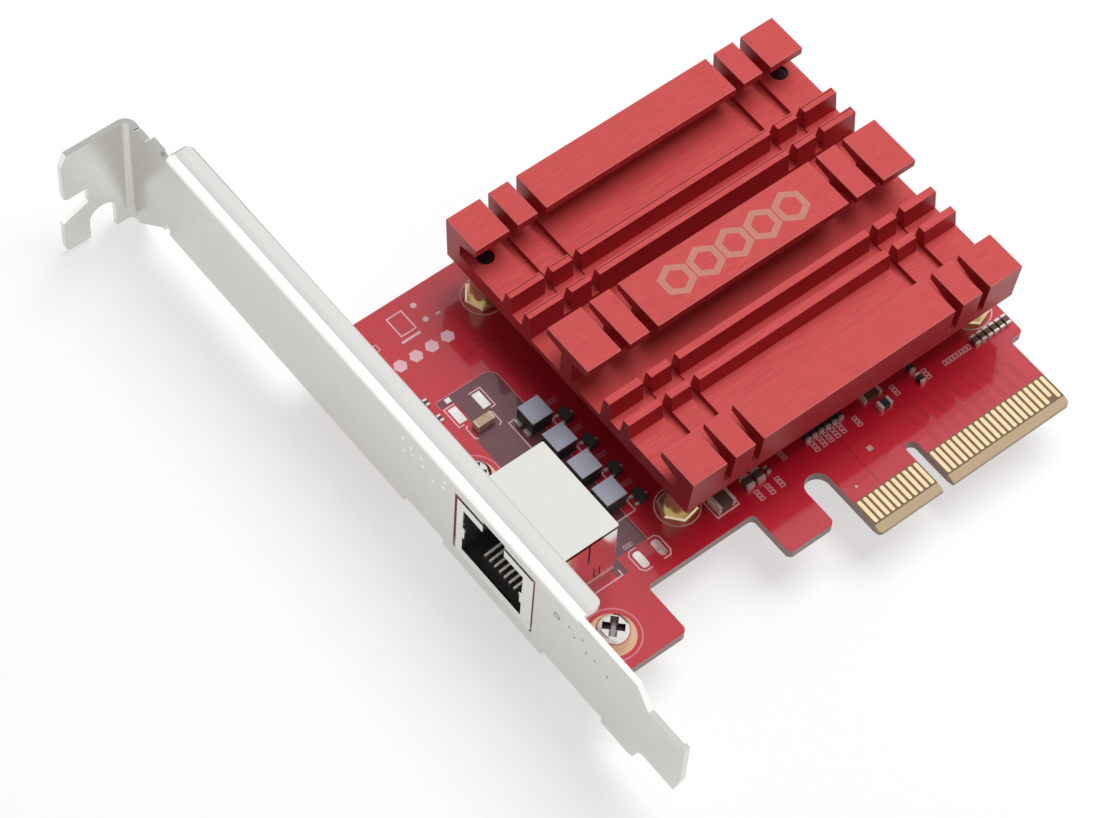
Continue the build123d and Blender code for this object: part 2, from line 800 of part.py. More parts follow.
# Jack insert: the socket, the latch room, the wire slots and the pegs
with BuildPart() as jack_insert:
    skin = tin + wall_gap
    block(insert_left, insert_right, jack_low + skin, jack_high - skin, 0, jack_height - skin)
    block(insert_left, port_end, port_low, port_right, port_floor, port_high, Mode.SUBTRACT)
    latch_end = insert_left + latch_depth
    block(
        insert_left,
        latch_end,
        window_latch_low,
        window_latch_high,
        port_high,
        jack_height - skin,
        Mode.SUBTRACT,
    )
    slot_half = wire_width / 2 + pin_gap
    slot_roof = wire_high + wire_thick / 2 + pin_gap
    for y in wire_ys:
        y0, y1 = y - slot_half, y + slot_half
        block(port_end, insert_right, y0, y1, 0, slot_roof, Mode.SUBTRACT)
    with BuildSketch(Plane.XY.offset(back - peg_length)):
        with Locations(*peg_places):
            Circle(peg_r)
    extrude(amount=peg_length - back)

# Jack wires: each runs in from its free end, back over the floor and down through the board
with BuildPart() as jack_contacts:
    for x, y in wire_places:
        with BuildSketch(Plane.XZ.offset(-y - wire_width / 2)):
            with BuildLine():
                FilletPolyline(
                    (jack_left + wire_tip, wire_tip_z),
                    (port_end, wire_high),
                    (x, wire_high),
                    (x, back - pin_length),
                    radius=wire_thick,
                )
            trace(line_width=wire_thick)
        extrude(amount=wire_width)

# Line transformers: a black core, a grey plate on top and tinned terminals at both ends
with BuildPart() as transformer_cores:
    with Locations(*[(core_x, y, core_h / 2) for y in line_ys]):
        Box(core_dx, core_dy, core_h)

with BuildPart() as transformer_plates:
    with Locations(*[(core_x, y, core_h + plate_h / 2) for y in line_ys]):
        Box(core_dx, core_dy, plate_h)

with BuildPart() as transformer_terminals:
    for y in line_ys:
        for side in (-1, 1):
            for end in (-1, 1):
                x_mid = core_x + side * (core_dx + terminal_dx) / 2
                with Locations((x_mid, y + end * terminal_pitch / 2, terminal_h / 2)):
                    Box(terminal_dx, terminal_dy, terminal_h)

# Surge diodes: two leads towards the transformers and one away from them
with BuildPart() as surge_diodes:
    with Locations(*[(diode_x, y, diode_h / 2) for y in diode_ys]):
        Box(diode_dx, diode_dy, diode_h)

with BuildPart() as surge_diode_leads:
    for y in diode_ys:
        side_leads(diode_x, y, diode_dx / 2, 2, 2 * diode_lead_pitch, sides=(-1,))
        side_leads(diode_x, y, diode_dx / 2, 1, 0, sides=(1,))

# Chip parts
with BuildPart() as bulk_capacitor:
    chip_boxes(bulk_places, size_bulk, False)

with BuildPart() as bulk_capacitor_ends:
    chip_boxes(bulk_places, size_bulk, True)

with BuildPart() as filter_inductor:
    chip_boxes(filter_places, size_filter, False)

with BuildPart() as filter_inductor_ends:
    chip_boxes(filter_places, size_filter, True)

capacitor_sets = (
    (small_cap_places, size_small),
    (medium_cap_places, size_medium),
    (large_cap_places, size_large),
    (long_cap_places, size_long),
)
resistor_sets = (
    (small_resistor_places, size_small),
    (medium_resistor_places, size_medium),
    (large_resistor_places, size_large),
)

with BuildPart() as chip_capacitors:
    for places, size in capacitor_sets:
        chip_boxes(places, size, False)

with BuildPart() as chip_capacitor_ends:
    for places, size in capacitor_sets:
        chip_boxes(places, size, True)

with BuildPart() as chip_resistors:
    for places, size in resistor_sets:
        chip_boxes(places, size, False)

with BuildPart() as chip_resistor_ends:
    for places, size in resistor_sets:
        chip_boxes(places, size, True)

# Parts in the room between the board and the heat sink


def lay(box):
    """Adds a box that stands on the board, from its centre, its sides and its height."""
    x, y, dx, dy, height = box
    with Locations((x, y, height / 2)):
        Box(dx, dy, height)


with BuildPart() as crystal_can:
    lay(crystal_box)

with BuildPart() as flash_memory:
    lay(memory_box)

with BuildPart() as flash_memory_leads:
    side_leads(memory_box[0], memory_box[1], memory_box[2] / 2, memory_leads_count, memory_pitch)

with BuildPart() as power_inductors:
    for x, y in inductor_places:
        lay((x, y, inductor_side, inductor_side, inductor_h))

with BuildPart() as power_inductor_leads:
    for x, y in inductor_places:
        side_leads(x, y, inductor_side / 2, 1, 0)

with BuildPart() as regulators:
    for x, y in regulator_places:
        lay((x, y, regulator_side, regulator_side, regulator_h))

with BuildPart() as regulator_leads:
    for x, y in regulator_places:
        side_leads(x, y, regulator_side / 2, regulator_leads_count, regulator_pitch)

pieces = {
    "pcb": pcb,
    "edge_contacts_front": edge_contacts_front,
    "edge_contacts_back": edge_contacts_back,
    "bracket": bracket,
    "screw_lands": screw_lands,
    "solder_pads": solder_pads,
    "bracket_screws": bracket_screws,
    "heat_sink": heat_sink,
    "standoffs": standoffs,
    "heat_sink_screws": heat_sink_screws,
    "controller_balls": controller_balls,
    "controller_substrate": controller_substrate,
    "controller_lid": controller_lid,
    "thermal_pad": thermal_pad,
    "jack_shield": jack_shield,
    "jack_insert": jack_insert,
    "jack_contacts": jack_contacts,
    "transformer_cores": transformer_cores,
    "transformer_plates": transformer_plates,
    "transformer_terminals": transformer_terminals,
    "surge_diodes": surge_diodes,
    "surge_diode_leads": surge_diode_leads,
    "bulk_capacitor": bulk_capacitor,
    "bulk_capacitor_ends": bulk_capacitor_ends,
    "filter_inductor": filter_inductor,
    "filter_inductor_ends": filter_inductor_ends,
    "chip_capacitors": chip_capacitors,
    "chip_capacitor_ends": chip_capacitor_ends,
    "chip_resistors": chip_resistors,
    "chip_resistor_ends": chip_resistor_ends,
    "crystal_can": crystal_can,
    "flash_memory": flash_memory,
    "flash_memory_leads": flash_memory_leads,
    "power_inductors": power_inductors,
    "power_inductor_leads": power_inductor_leads,
    "regulators": regulators,
    "regulator_leads": regulator_leads,
}
for name, builder in pieces.items():
    builder.part.label = name
    export_step(builder.part, f"parts/{name}.step")
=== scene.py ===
"""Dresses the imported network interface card: finishes, board print, studio and camera."""

import logging
import math
import random
from dataclasses import dataclass, field
from enum import Enum

import bmesh
import bpy
from mathutils import Matrix, Vector


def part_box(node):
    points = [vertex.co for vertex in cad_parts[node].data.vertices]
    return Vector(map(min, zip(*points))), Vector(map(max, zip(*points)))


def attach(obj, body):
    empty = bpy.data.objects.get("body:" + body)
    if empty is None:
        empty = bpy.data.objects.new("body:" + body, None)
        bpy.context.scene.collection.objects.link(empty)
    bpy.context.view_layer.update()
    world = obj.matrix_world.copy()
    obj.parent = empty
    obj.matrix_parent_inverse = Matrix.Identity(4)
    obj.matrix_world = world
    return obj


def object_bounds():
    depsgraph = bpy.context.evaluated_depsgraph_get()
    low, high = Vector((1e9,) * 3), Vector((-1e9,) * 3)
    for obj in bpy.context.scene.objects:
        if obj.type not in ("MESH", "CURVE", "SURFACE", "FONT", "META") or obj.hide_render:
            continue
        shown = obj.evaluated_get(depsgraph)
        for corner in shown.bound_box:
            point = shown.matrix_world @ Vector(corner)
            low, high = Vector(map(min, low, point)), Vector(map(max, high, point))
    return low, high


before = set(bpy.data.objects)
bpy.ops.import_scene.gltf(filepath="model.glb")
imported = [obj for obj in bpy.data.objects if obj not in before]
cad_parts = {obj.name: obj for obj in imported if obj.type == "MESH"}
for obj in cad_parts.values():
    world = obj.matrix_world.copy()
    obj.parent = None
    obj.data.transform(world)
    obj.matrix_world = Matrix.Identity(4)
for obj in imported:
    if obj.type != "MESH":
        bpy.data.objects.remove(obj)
CAD_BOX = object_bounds()
LOG = logging.getLogger("card")

MM = 0.001
MICRON = 1e-6
END = 1000.0  # millimetres, beyond every side of the card
ROOT = "root"
BRACKET_FACE = -58.84  # the bracket's outer face along X
SCREW_HEAD = 2.35  # the radius of the bracket screws' heads
POST_HEAD = 2.4  # the radius of the heat sink screws' heads
SHARPEST_MITRE = 0.3  # how far a line's corner may be drawn out, as a cosine
RING_SIDES = 60
Point = tuple[float, float]
Colour = tuple[float, float, float]


def lowest(node: str) -> Vector:
    """Returns a CAD node's lowest corner in millimetres."""
    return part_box(node)[0] / MM


def highest(node: str) -> Vector:
    """Returns a CAD node's highest corner in millimetres."""
    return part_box(node)[1] / MM


def middles(node: str, half_x: float, half_y: float) -> list[Point]:
    """Returns the middles of equal round parts that stand at the corners of a node's box.

    Args:
        node: The CAD node with the parts.
        half_x: Half of one part's size along X, in millimetres.
        half_y: Half of one part's size along Y.

    Returns:
        One middle for each part.
    """
    low, high = lowest(node), highest(node)
    xs = (low.x + half_x, high.x - half_x) if high.x - low.x > 3 * half_x else ((low.x + high.x) / 2,)
    return [(x, y) for x in xs for y in (low.y + half_y, high.y - half_y)]


def srgb(red: int, green: int, blue: int) -> Colour:
    """Turns display values from 0 to 255 into the linear colour that shaders use."""
    shades = [value / 255 for value in (red, green, blue)]
    return tuple(s / 12.92 if s <= 0.04045 else ((s + 0.055) / 1.055) ** 2.4 for s in shades)


def circle(centre: Point, radius: float, sides: int, turn: float = 0.0) -> list[Point]:
    """Works out the corners of a circle or a regular polygon.

    Args:
        centre: Its middle.
        radius: The distance from there to its corners.
        sides: How many corners it has.
        turn: Where the first corner lies, in degrees from the x axis.

    Returns:
        The corners, counter-clockwise.
    """
    angles = [math.radians(turn + 360 * n / sides) for n in range(sides)]
    return [(centre[0] + radius * math.cos(a), centre[1] + radius * math.sin(a)) for a in angles]


class NodeSheet:
    """A node tree being filled, with short calls for its nodes, links and sums."""

    def __init__(self, tree: bpy.types.NodeTree) -> None:
        """Keeps the tree that is being filled."""
        self.tree = tree

    def add(self, kind: str, **settings: object) -> bpy.types.Node:
        """Adds a node.

        Args:
            kind: The node's type name.
            **settings: Attributes to set on the new node.

        Returns:
            The new node.
        """
        node = self.tree.nodes.new(kind)
        for name, value in settings.items():
            setattr(node, name, value)
        return node

    def put(self, socket: bpy.types.NodeSocket, value: object) -> None:
        """Links a socket to another one, or sets its plain value.

        Args:
            socket: The input socket.
            value: An output socket or a plain value.
        """
        if isinstance(value, bpy.types.NodeSocket):
            self.tree.links.new(value, socket)
        else:
            socket.default_value = value

    def maths(self, operation: str, *values: object, clamp: bool = False) -> bpy.types.NodeSocket:
        """Adds a Math node.

        Args:
            operation: What it works out.
            *values: Plain values or sockets that it works on.
            clamp: Whether the result stays from 0 to 1.

        Returns:
            The result.
        """
        node = self.add("ShaderNodeMath", operation=operation, use_clamp=clamp)
        for socket, value in zip(node.inputs, values):
            self.put(socket, value)
        return node.outputs[0]

    def spread(self, value: object, start: Point, end: Point) -> bpy.types.NodeSocket:
        """Maps a value from one range to another and clamps it.

        Args:
            value: The socket to map.
            start: The range that the value comes in.
            end: The range that it goes out in.

        Returns:
            The mapped value.
        """
        node = self.add("ShaderNodeMapRange", clamp=True)
        self.put(node.inputs["Value"], value)
        for name, number in zip(("From Min", "From Max", "To Min", "To Max"), start + end):
            node.inputs[name].default_value = number
        return node.outputs["Result"]

    def blend(self, factor: object, first: object, second: object) -> bpy.types.NodeSocket:
        """Mixes two colours.

        Args:
            factor: The second colour's share, from 0 to 1.
            first: The colour at a factor of 0.
            second: The colour at a factor of 1.

        Returns:
            The mixed colour.
        """
        node = self.add("ShaderNodeMix", data_type="RGBA")
        ends = ((node.inputs["Factor"], factor), (node.inputs[6], first), (node.inputs[7], second))
        for socket, value in ends:
            self.put(socket, (*value, 1.0) if isinstance(value, tuple) else value)
        return node.outputs[2]

    def place(self) -> bpy.types.Node:
        """Adds a node that splits the place on the card, in metres, into X, Y and Z and returns it."""
        parts = self.add("ShaderNodeSeparateXYZ")
        self.put(parts.inputs[0], self.add("ShaderNodeTexCoord").outputs["Object"])
        return parts


def effect_group(name: str, inputs: dict[str, float], outputs: dict[str, str]) -> tuple:
    """Starts a shader node group with named sockets.

    Args:
        name: The group's name.
        inputs: Float inputs and their default values.
        outputs: Output names and their socket types.

    Returns:
        The group, its sheet, its input node and its output node.
    """
    group = bpy.data.node_groups.new(name, "ShaderNodeTree")
    for label, value in inputs.items():
        socket = group.interface.new_socket(label, in_out="INPUT", socket_type="NodeSocketFloat")
        socket.default_value = value
    for label, kind in outputs.items():
        group.interface.new_socket(label, in_out="OUTPUT", socket_type=kind)
    sheet = NodeSheet(group)
    return group, sheet, sheet.add("NodeGroupInput"), sheet.add("NodeGroupOutput")


def build_grain_group() -> bpy.types.ShaderNodeTree:
    """Builds the surface grain: fine noise that can be stretched into brush lines along one axis.

    Returns:
        The group, whose value runs from 0 to 1.
    """
    inputs = {"Per mm": 1.0, "Stretch X": 1.0, "Stretch Y": 1.0, "Stretch Z": 1.0, "Contrast": 1.0}
    group, sheet, start, end = effect_group("surface_grain", inputs, {"Value": "NodeSocketFloat"})
    place = sheet.add("ShaderNodeTexCoord").outputs["Object"]
    per_metre = sheet.maths("DIVIDE", start.outputs["Per mm"], MM)
    stretch = sheet.add("ShaderNodeCombineXYZ")
    for axis in "XYZ":
        sheet.put(stretch.inputs[axis], sheet.maths("MULTIPLY", start.outputs[f"Stretch {axis}"], per_metre))
    scaled = sheet.add("ShaderNodeVectorMath", operation="MULTIPLY")
    sheet.put(scaled.inputs[0], place)
    sheet.put(scaled.inputs[1], stretch.outputs[0])
    noise = sheet.add("ShaderNodeTexNoise", noise_dimensions="3D")
    sheet.put(noise.inputs["Vector"], scaled.outputs[0])
    noise.inputs["Scale"].default_value = 1.0
    noise.inputs["Detail"].default_value = 3.0
    centred = sheet.maths("SUBTRACT", noise.outputs[0], 0.5)
    pushed = sheet.maths("MULTIPLY", centred, start.outputs["Contrast"])
    sheet.put(end.inputs["Value"], sheet.maths("ADD", pushed, 0.5, clamp=True))
    return group


def build_facing_group() -> bpy.types.ShaderNodeTree:
    """Builds masks of level faces, of faces that look sideways, and of chamfered edges between.

    Returns:
        The group, whose three masks run from 0 to 1.
    """
    # A mask fades between the two values of levelness, which is 1 for a level face and 0 for a wall
    level_fade, side_fade, edge_start, edge_end = (0.96, 0.99), (0.3, 0.5), (0.4, 0.5), (0.9, 0.95)
    outputs = {"Level": "NodeSocketFloat", "Side": "NodeSocketFloat", "Edge": "NodeSocketFloat"}
    group, sheet, _, end = effect_group("facing_masks", {}, outputs)
    parts = sheet.add("ShaderNodeSeparateXYZ")
    sheet.put(parts.inputs[0], sheet.add("ShaderNodeNewGeometry").outputs["True Normal"])
    levelness = sheet.maths("ABSOLUTE", parts.outputs["Z"])
    sheet.put(end.inputs["Level"], sheet.spread(levelness, level_fade, (0.0, 1.0)))
    sheet.put(end.inputs["Side"], sheet.spread(levelness, side_fade, (1.0, 0.0)))
    above = sheet.spread(levelness, edge_start, (0.0, 1.0))
    below = sheet.spread(levelness, edge_end, (1.0, 0.0))
    sheet.put(end.inputs["Edge"], sheet.maths("MULTIPLY", above, below))
    return group


def build_recess_group() -> bpy.types.ShaderNodeTree:
    """Builds a mask of the drive recesses in screws that stand mirrored about one middle.

    Returns:
        The group, whose mask is 1 inside the recesses.
    """
    inputs = {"Middle X": 0.0, "Middle Y": 0.0, "Aside X": 0.0, "Aside Y": 0.0, "Reach": 0.001,
              "Level": 0.0, "Depth": 0.001, "Side": 1.0}
    group, sheet, start, end = effect_group("drive_recess", inputs, {"Mask": "NodeSocketFloat"})
    place = sheet.place()
    squares = []
    for axis in "XY":
        off = sheet.maths("SUBTRACT", place.outputs[axis], start.outputs[f"Middle {axis}"])
        near = sheet.maths("SUBTRACT", sheet.maths("ABSOLUTE", off), start.outputs[f"Aside {axis}"])
        squares.append(sheet.maths("MULTIPLY", near, near))
    away = sheet.maths("SQRT", sheet.maths("ADD", *squares))
    inside = sheet.maths("LESS_THAN", away, start.outputs["Reach"])
    below = sheet.maths("SUBTRACT", start.outputs["Level"], place.outputs["Z"])
    sunk = sheet.maths("MULTIPLY", below, start.outputs["Side"])
    deep = sheet.maths("GREATER_THAN", sunk, 0.0)
    shallow = sheet.maths("LESS_THAN", sunk, start.outputs["Depth"])
    hollow = sheet.maths("MULTIPLY", deep, shallow)
    sheet.put(end.inputs["Mask"], sheet.maths("MULTIPLY", inside, hollow))
    return group


def build_box_group() -> bpy.types.ShaderNodeTree:
    """Builds a mask of what lies inside a box that is set by its sides' places on the card.

    Returns:
        The group, whose mask is 1 inside the box. Sides that aren't set lie beyond the card.
    """
    sides = {"Low": -END * MM, "High": END * MM}
    inputs = {f"{side} {axis}": value for axis in "XYZ" for side, value in sides.items()}
    group, sheet, start, end = effect_group("box_mask", inputs, {"Mask": "NodeSocketFloat"})
    place = sheet.place()
    tests = [sheet.maths(test, place.outputs[axis], start.outputs[f"{side} {axis}"])
             for axis in "XYZ" for side, test in (("Low", "GREATER_THAN"), ("High", "LESS_THAN"))]
    inside = tests[0]
    for test in tests[1:]:
        inside = sheet.maths("MULTIPLY", inside, test)
    sheet.put(end.inputs["Mask"], inside)
    return group


class Grain(Enum):
    """How a finish's fine grain runs: size per mm, and its stretch along X, Y and Z."""

    EVEN = (6.0, 1.0, 1.0, 1.0)
    FINE = (14.0, 1.0, 1.0, 1.0)
    COARSE = (2.5, 1.0, 1.0, 1.0)
    BRUSHED_X = (9.0, 0.03, 1.0, 1.0)
    BRUSHED_Y = (9.0, 1.0, 0.03, 1.0)
    SOFT = (0.5, 1.0, 1.0, 1.0)


@dataclass
class Effects:
    """The node groups that the finishes share, built once."""

    grain: bpy.types.ShaderNodeTree = field(default_factory=build_grain_group)
    facing: bpy.types.ShaderNodeTree = field(default_factory=build_facing_group)
    recess: bpy.types.ShaderNodeTree = field(default_factory=build_recess_group)
    box: bpy.types.ShaderNodeTree = field(default_factory=build_box_group)

    def place_grain(self, sheet: NodeSheet, grain: Grain, contrast: float) -> bpy.types.NodeSocket:
        """Places the grain group with one grain's values.

        Args:
            sheet: The sheet that gets it.
            grain: The grain's size and stretch.
            contrast: How far its value swings from the middle.

        Returns:
            The grain's value, from 0 to 1.
        """
        node = sheet.add("ShaderNodeGroup", node_tree=self.grain)
        for label, value in zip(("Per mm", "Stretch X", "Stretch Y", "Stretch Z"), grain.value):
            node.inputs[label].default_value = value
        node.inputs["Contrast"].default_value = contrast
        return node.outputs["Value"]

    def place_facing(self, sheet: NodeSheet) -> bpy.types.Node:
        """Places the facing group and returns its node."""
        return sheet.add("ShaderNodeGroup", node_tree=self.facing)

    def place_box(self, sheet: NodeSheet, **spans: Point) -> bpy.types.NodeSocket:
        """Places the box mask group.

        Args:
            sheet: The sheet that gets it.
            **spans: The box's start and end along x, y or z, in millimetres.

        Returns:
            A mask that is 1 inside the box.
        """
        node = sheet.add("ShaderNodeGroup", node_tree=self.box)
        for axis, span in spans.items():
            for side, value in zip(("Low", "High"), span):
                node.inputs[f"{side} {axis.upper()}"].default_value = value * MM
        return node.outputs["Mask"]


@dataclass(frozen=True)
class Finish:
    """One surface finish: two close colours, a roughness range, a grain and its depth."""

    name: str
    colour: Colour
    second: Colour
    roughness: float
    rough_spread: float = 0.08
    metallic: float = 0.0
    grain: Grain = Grain.EVEN
    depth_um: float = 1.0
    coat: float = 0.0
    coat_roughness: float = 0.1
    tone_contrast: float = 2.0
    rough_contrast: float = 2.2
    rough_range: Point = (0.2, 0.8)

    def start(self, effects: Effects) -> tuple[bpy.types.Material, NodeSheet, bpy.types.Node]:
        """Makes the material with its roughness and bump, and leaves its colour to the caller.

        Args:
            effects: The shared node groups.

        Returns:
            The material, its sheet and its Principled node.
        """
        material = bpy.data.materials.new(self.name)
        material.use_nodes = True
        sheet = NodeSheet(material.node_tree)
        shader = next(n for n in sheet.tree.nodes if n.type == "BSDF_PRINCIPLED")
        grain = effects.place_grain(sheet, self.grain, self.rough_contrast)
        span = (self.roughness - self.rough_spread, self.roughness + self.rough_spread)
        sheet.put(shader.inputs["Roughness"], sheet.spread(grain, self.rough_range, span))
        bump = sheet.add("ShaderNodeBump")
        bump.inputs["Distance"].default_value = self.depth_um * MICRON
        sheet.put(bump.inputs["Height"], grain)
        sheet.put(shader.inputs["Normal"], bump.outputs[0])
        shader.inputs["Metallic"].default_value = self.metallic
        shader.inputs["Coat Weight"].default_value = self.coat
        shader.inputs["Coat Roughness"].default_value = self.coat_roughness
        return material, sheet, shader

    def tone(self, effects: Effects, sheet: NodeSheet) -> bpy.types.NodeSocket:
        """Returns the finish's colour, drifting softly between its two tones."""
        drift = effects.place_grain(sheet, Grain.SOFT, self.tone_contrast)
        return sheet.blend(drift, self.colour, self.second)

    def build(self, effects: Effects) -> bpy.types.Material:
        """Makes the whole material.

        Args:
            effects: The shared node groups.

        Returns:
            The material.
        """
        material, sheet, shader = self.start(effects)
        sheet.put(shader.inputs["Base Color"], self.tone(effects, sheet))
        return material


@dataclass(frozen=True)
class MaskFinish(Finish):
    """Solder mask over copper, with bare laminate on the cut edges, bevel and contact bed."""

    edge: Colour = (0.2, 0.15, 0.11)
    bevel: Colour = (0.6, 0.5, 0.3)
    bed: Colour = (0.15, 0.08, 0.03)
    bevel_rise: float = 1.27
    bed_rise: float = 5.6
    bed_left: float = -14.0
    glass_contrast: float = 1.5
    edge_dark: float = 0.7
    bevel_dark: float = 0.85

    def build(self, effects: Effects) -> bpy.types.Material:
        """Makes the board's material.

        Args:
            effects: The shared node groups.

        Returns:
            The material.
        """
        material, sheet, shader = self.start(effects)
        facing = effects.place_facing(sheet)
        mask = self.tone(effects, sheet)
        glass = effects.place_grain(sheet, Grain.EVEN, self.glass_contrast)
        laminate = sheet.blend(glass, self.edge, tuple(self.edge_dark * shade for shade in self.edge))
        around = effects.place_box(sheet, x=(self.bed_left, END), y=(-END, self.bed_rise))
        masked = sheet.blend(around, mask, self.bed)
        coloured = sheet.blend(facing.outputs["Side"], masked, laminate)
        low = effects.place_box(sheet, y=(-END, self.bevel_rise))
        tan = sheet.blend(glass, self.bevel, tuple(self.bevel_dark * shade for shade in self.bevel))
        sheet.put(shader.inputs["Base Color"], sheet.blend(low, coloured, tan))
        glossy = sheet.maths("MULTIPLY", facing.outputs["Level"], self.coat)
        sheet.put(shader.inputs["Coat Weight"], glossy)
        return material


@dataclass(frozen=True)
class AnodisedFinish(Finish):
    """Dyed anodised aluminium: brushed tops, painted shade on the sides, a painted highlight on the
    chamfers, and a line on two fins.
    """

    # deep darkens the brush streaks and is also the painted shade on the side faces; the colour after it is
    # a painted highlight on the chamfers
    deep: Colour = (0.3, 0.02, 0.03)
    chamfer_highlight: Colour = (0.8, 0.4, 0.4)
    brush_share: float = 0.5
    brush_contrast: float = 1.6
    brush_range: Point = (0.25, 0.75)
    line: Colour = (0.15, 0.015, 0.02)
    line_places: Point = (49.5, 53.6)
    line_half: float = 0.075
    line_span: Point = (12.0, 12.4)

    def build(self, effects: Effects) -> bpy.types.Material:
        """Makes the heat sink's material.

        Args:
            effects: The shared node groups.

        Returns:
            The material.
        """
        material, sheet, shader = self.start(effects)
        facing = effects.place_facing(sheet)
        tone = self.tone(effects, sheet)
        brush = effects.place_grain(sheet, self.grain, self.brush_contrast)
        share = sheet.spread(brush, self.brush_range, (0.0, self.brush_share))
        brushed = sheet.blend(share, tone, self.deep)
        # Painted shade: side faces take the deep colour
        coloured = sheet.blend(facing.outputs["Side"], brushed, self.deep)
        # Painted highlight: chamfers take the lighter colour
        edged = sheet.blend(facing.outputs["Edge"], coloured, self.chamfer_highlight)
        lines = [effects.place_box(sheet, y=(y - self.line_half, y + self.line_half), z=self.line_span)
                 for y in self.line_places]
        lined = sheet.maths("MAXIMUM", *lines)
        sheet.put(shader.inputs["Base Color"], sheet.blend(lined, edged, self.line))
        return material


@dataclass(frozen=True)
class DriveFinish(Finish):
    """Plated screw heads with painted shade: the drive recesses are painted dark inside, and their tips may
    be painted near black too.
    """

    # inside is painted shade in the drive recesses; the colour after it is painted shade on the tips that
    # sit deep in their holes
    inside: Colour = (0.04, 0.03, 0.03)
    tip_shade: Colour = (0.012, 0.013, 0.012)
    tip_rise: float = 5.0
    node: str = "bracket_screws"
    head: float = SCREW_HEAD
    reach: float = 1.65
    sink: float = 0.12
    depth: float = 1.4
    on_top: bool = True

    def build(self, effects: Effects) -> bpy.types.Material:
        """Makes the screws' material.

        Args:
            effects: The shared node groups.

        Returns:
            The material.
        """
        material, sheet, shader = self.start(effects)
        low, high = lowest(self.node), highest(self.node)
        aside_x = max((high.x - low.x) / 2 - self.head, 0.0)
        aside_y = (high.y - low.y) / 2 - self.head
        level = high.z - self.sink if self.on_top else low.z + self.sink
        mask = sheet.add("ShaderNodeGroup", node_tree=effects.recess)
        values = {"Middle X": (low.x + high.x) / 2, "Middle Y": (low.y + high.y) / 2, "Aside X": aside_x,
                  "Aside Y": aside_y, "Reach": self.reach, "Level": level, "Depth": self.depth}
        for label, value in values.items():
            mask.inputs[label].default_value = value * MM
        mask.inputs["Side"].default_value = 1.0 if self.on_top else -1.0
        # Painted shade: the drive recesses take the inside colour
        tone = sheet.blend(mask.outputs["Mask"], self.tone(effects, sheet), self.inside)
        # Painted shade: above tip_rise the tips turn near black and lose their metal
        ended = effects.place_box(sheet, z=(self.tip_rise, END))
        sheet.put(shader.inputs["Base Color"], sheet.blend(ended, tone, self.tip_shade))
        sheet.put(shader.inputs["Metallic"], sheet.maths("SUBTRACT", self.metallic, ended, clamp=True))
        return material


@dataclass(frozen=True)
class SheetFinish(Finish):
    """Plated sheet metal with painted light: level faces and folds painted brighter as a highlight, and a
    long strip with painted shade along its borders.
    """

    # level and the fold colour are painted highlights; shade and rim are painted shade
    level: Colour = (0.7, 0.7, 0.7)
    bend_highlight: Colour = (0.9, 0.9, 0.9)
    shade: Colour = (0.6, 0.6, 0.6)
    rim: Colour = (0.4, 0.4, 0.4)
    bend_run: float = 1.32
    shade_run: float = 1.2
    rim_start: float = 3.86
    rim_rise: Point = (66.0, 92.0)
    rim_range: Point = (0.4, 1.0)
    rim_end: float = 96.7

    def build(self, effects: Effects) -> bpy.types.Material:
        """Makes the sheet's material.

        Args:
            effects: The shared node groups.

        Returns:
            The material.
        """
        material, sheet, shader = self.start(effects)
        facing = effects.place_facing(sheet)
        place = sheet.place()
        bend_end = BRACKET_FACE + self.bend_run
        fade = (bend_end * MM, (bend_end + self.shade_run) * MM)
        # Painted shade on the strip beside the long fold, fading away from it
        strip = sheet.blend(sheet.spread(place.outputs["X"], fade, (0.0, 1.0)), self.shade, self.level)
        # Painted shade along the strip's upper border and its end
        upper = sheet.spread(place.outputs["Y"], tuple(y * MM for y in self.rim_rise), self.rim_range)
        aside = effects.place_box(sheet, x=(BRACKET_FACE + self.rim_start, END))
        ended = effects.place_box(sheet, y=(self.rim_end, END))
        rimmed = sheet.maths("MAXIMUM", sheet.maths("MULTIPLY", upper, aside), ended)
        level = sheet.blend(rimmed, strip, self.rim)
        # Painted highlight: level faces take the brighter level colour
        flat = sheet.blend(facing.outputs["Level"], self.tone(effects, sheet), level)
        # Painted highlight on the long fold's corner and on chamfered edges
        top = highest("bracket").z
        corner = effects.place_box(sheet, x=(-END, bend_end), z=(top - self.bend_run, END))
        beyond = sheet.maths("ADD", facing.outputs["Side"], ended)
        crown = sheet.maths("SUBTRACT", corner, beyond, clamp=True)
        bent = sheet.maths("MAXIMUM", crown, facing.outputs["Edge"])
        sheet.put(shader.inputs["Base Color"], sheet.blend(bent, flat, self.bend_highlight))
        return material


@dataclass(frozen=True)
class ShieldFinish(Finish):
    """Bright tin with painted shade: a dark line where the folded top leaves a gap along its sides."""

    # painted shade in the gap beside the folded top
    gap_shade: Colour = (0.04, 0.03, 0.03)
    seam_span: Point = (11.98, 12.64)
    seam_start: float = 1.0

    def build(self, effects: Effects) -> bpy.types.Material:
        """Makes the shield's material.

        Args:
            effects: The shared node groups.

        Returns:
            The material.
        """
        material, sheet, shader = self.start(effects)
        start = lowest("jack_shield").x + self.seam_start
        # Painted shade: a dark line in the gap between the folded top and the sides
        seamed = effects.place_box(sheet, x=(start, END), z=self.seam_span)
        sheet.put(shader.inputs["Base Color"], sheet.blend(seamed, self.tone(effects, sheet), self.gap_shade))
        return material


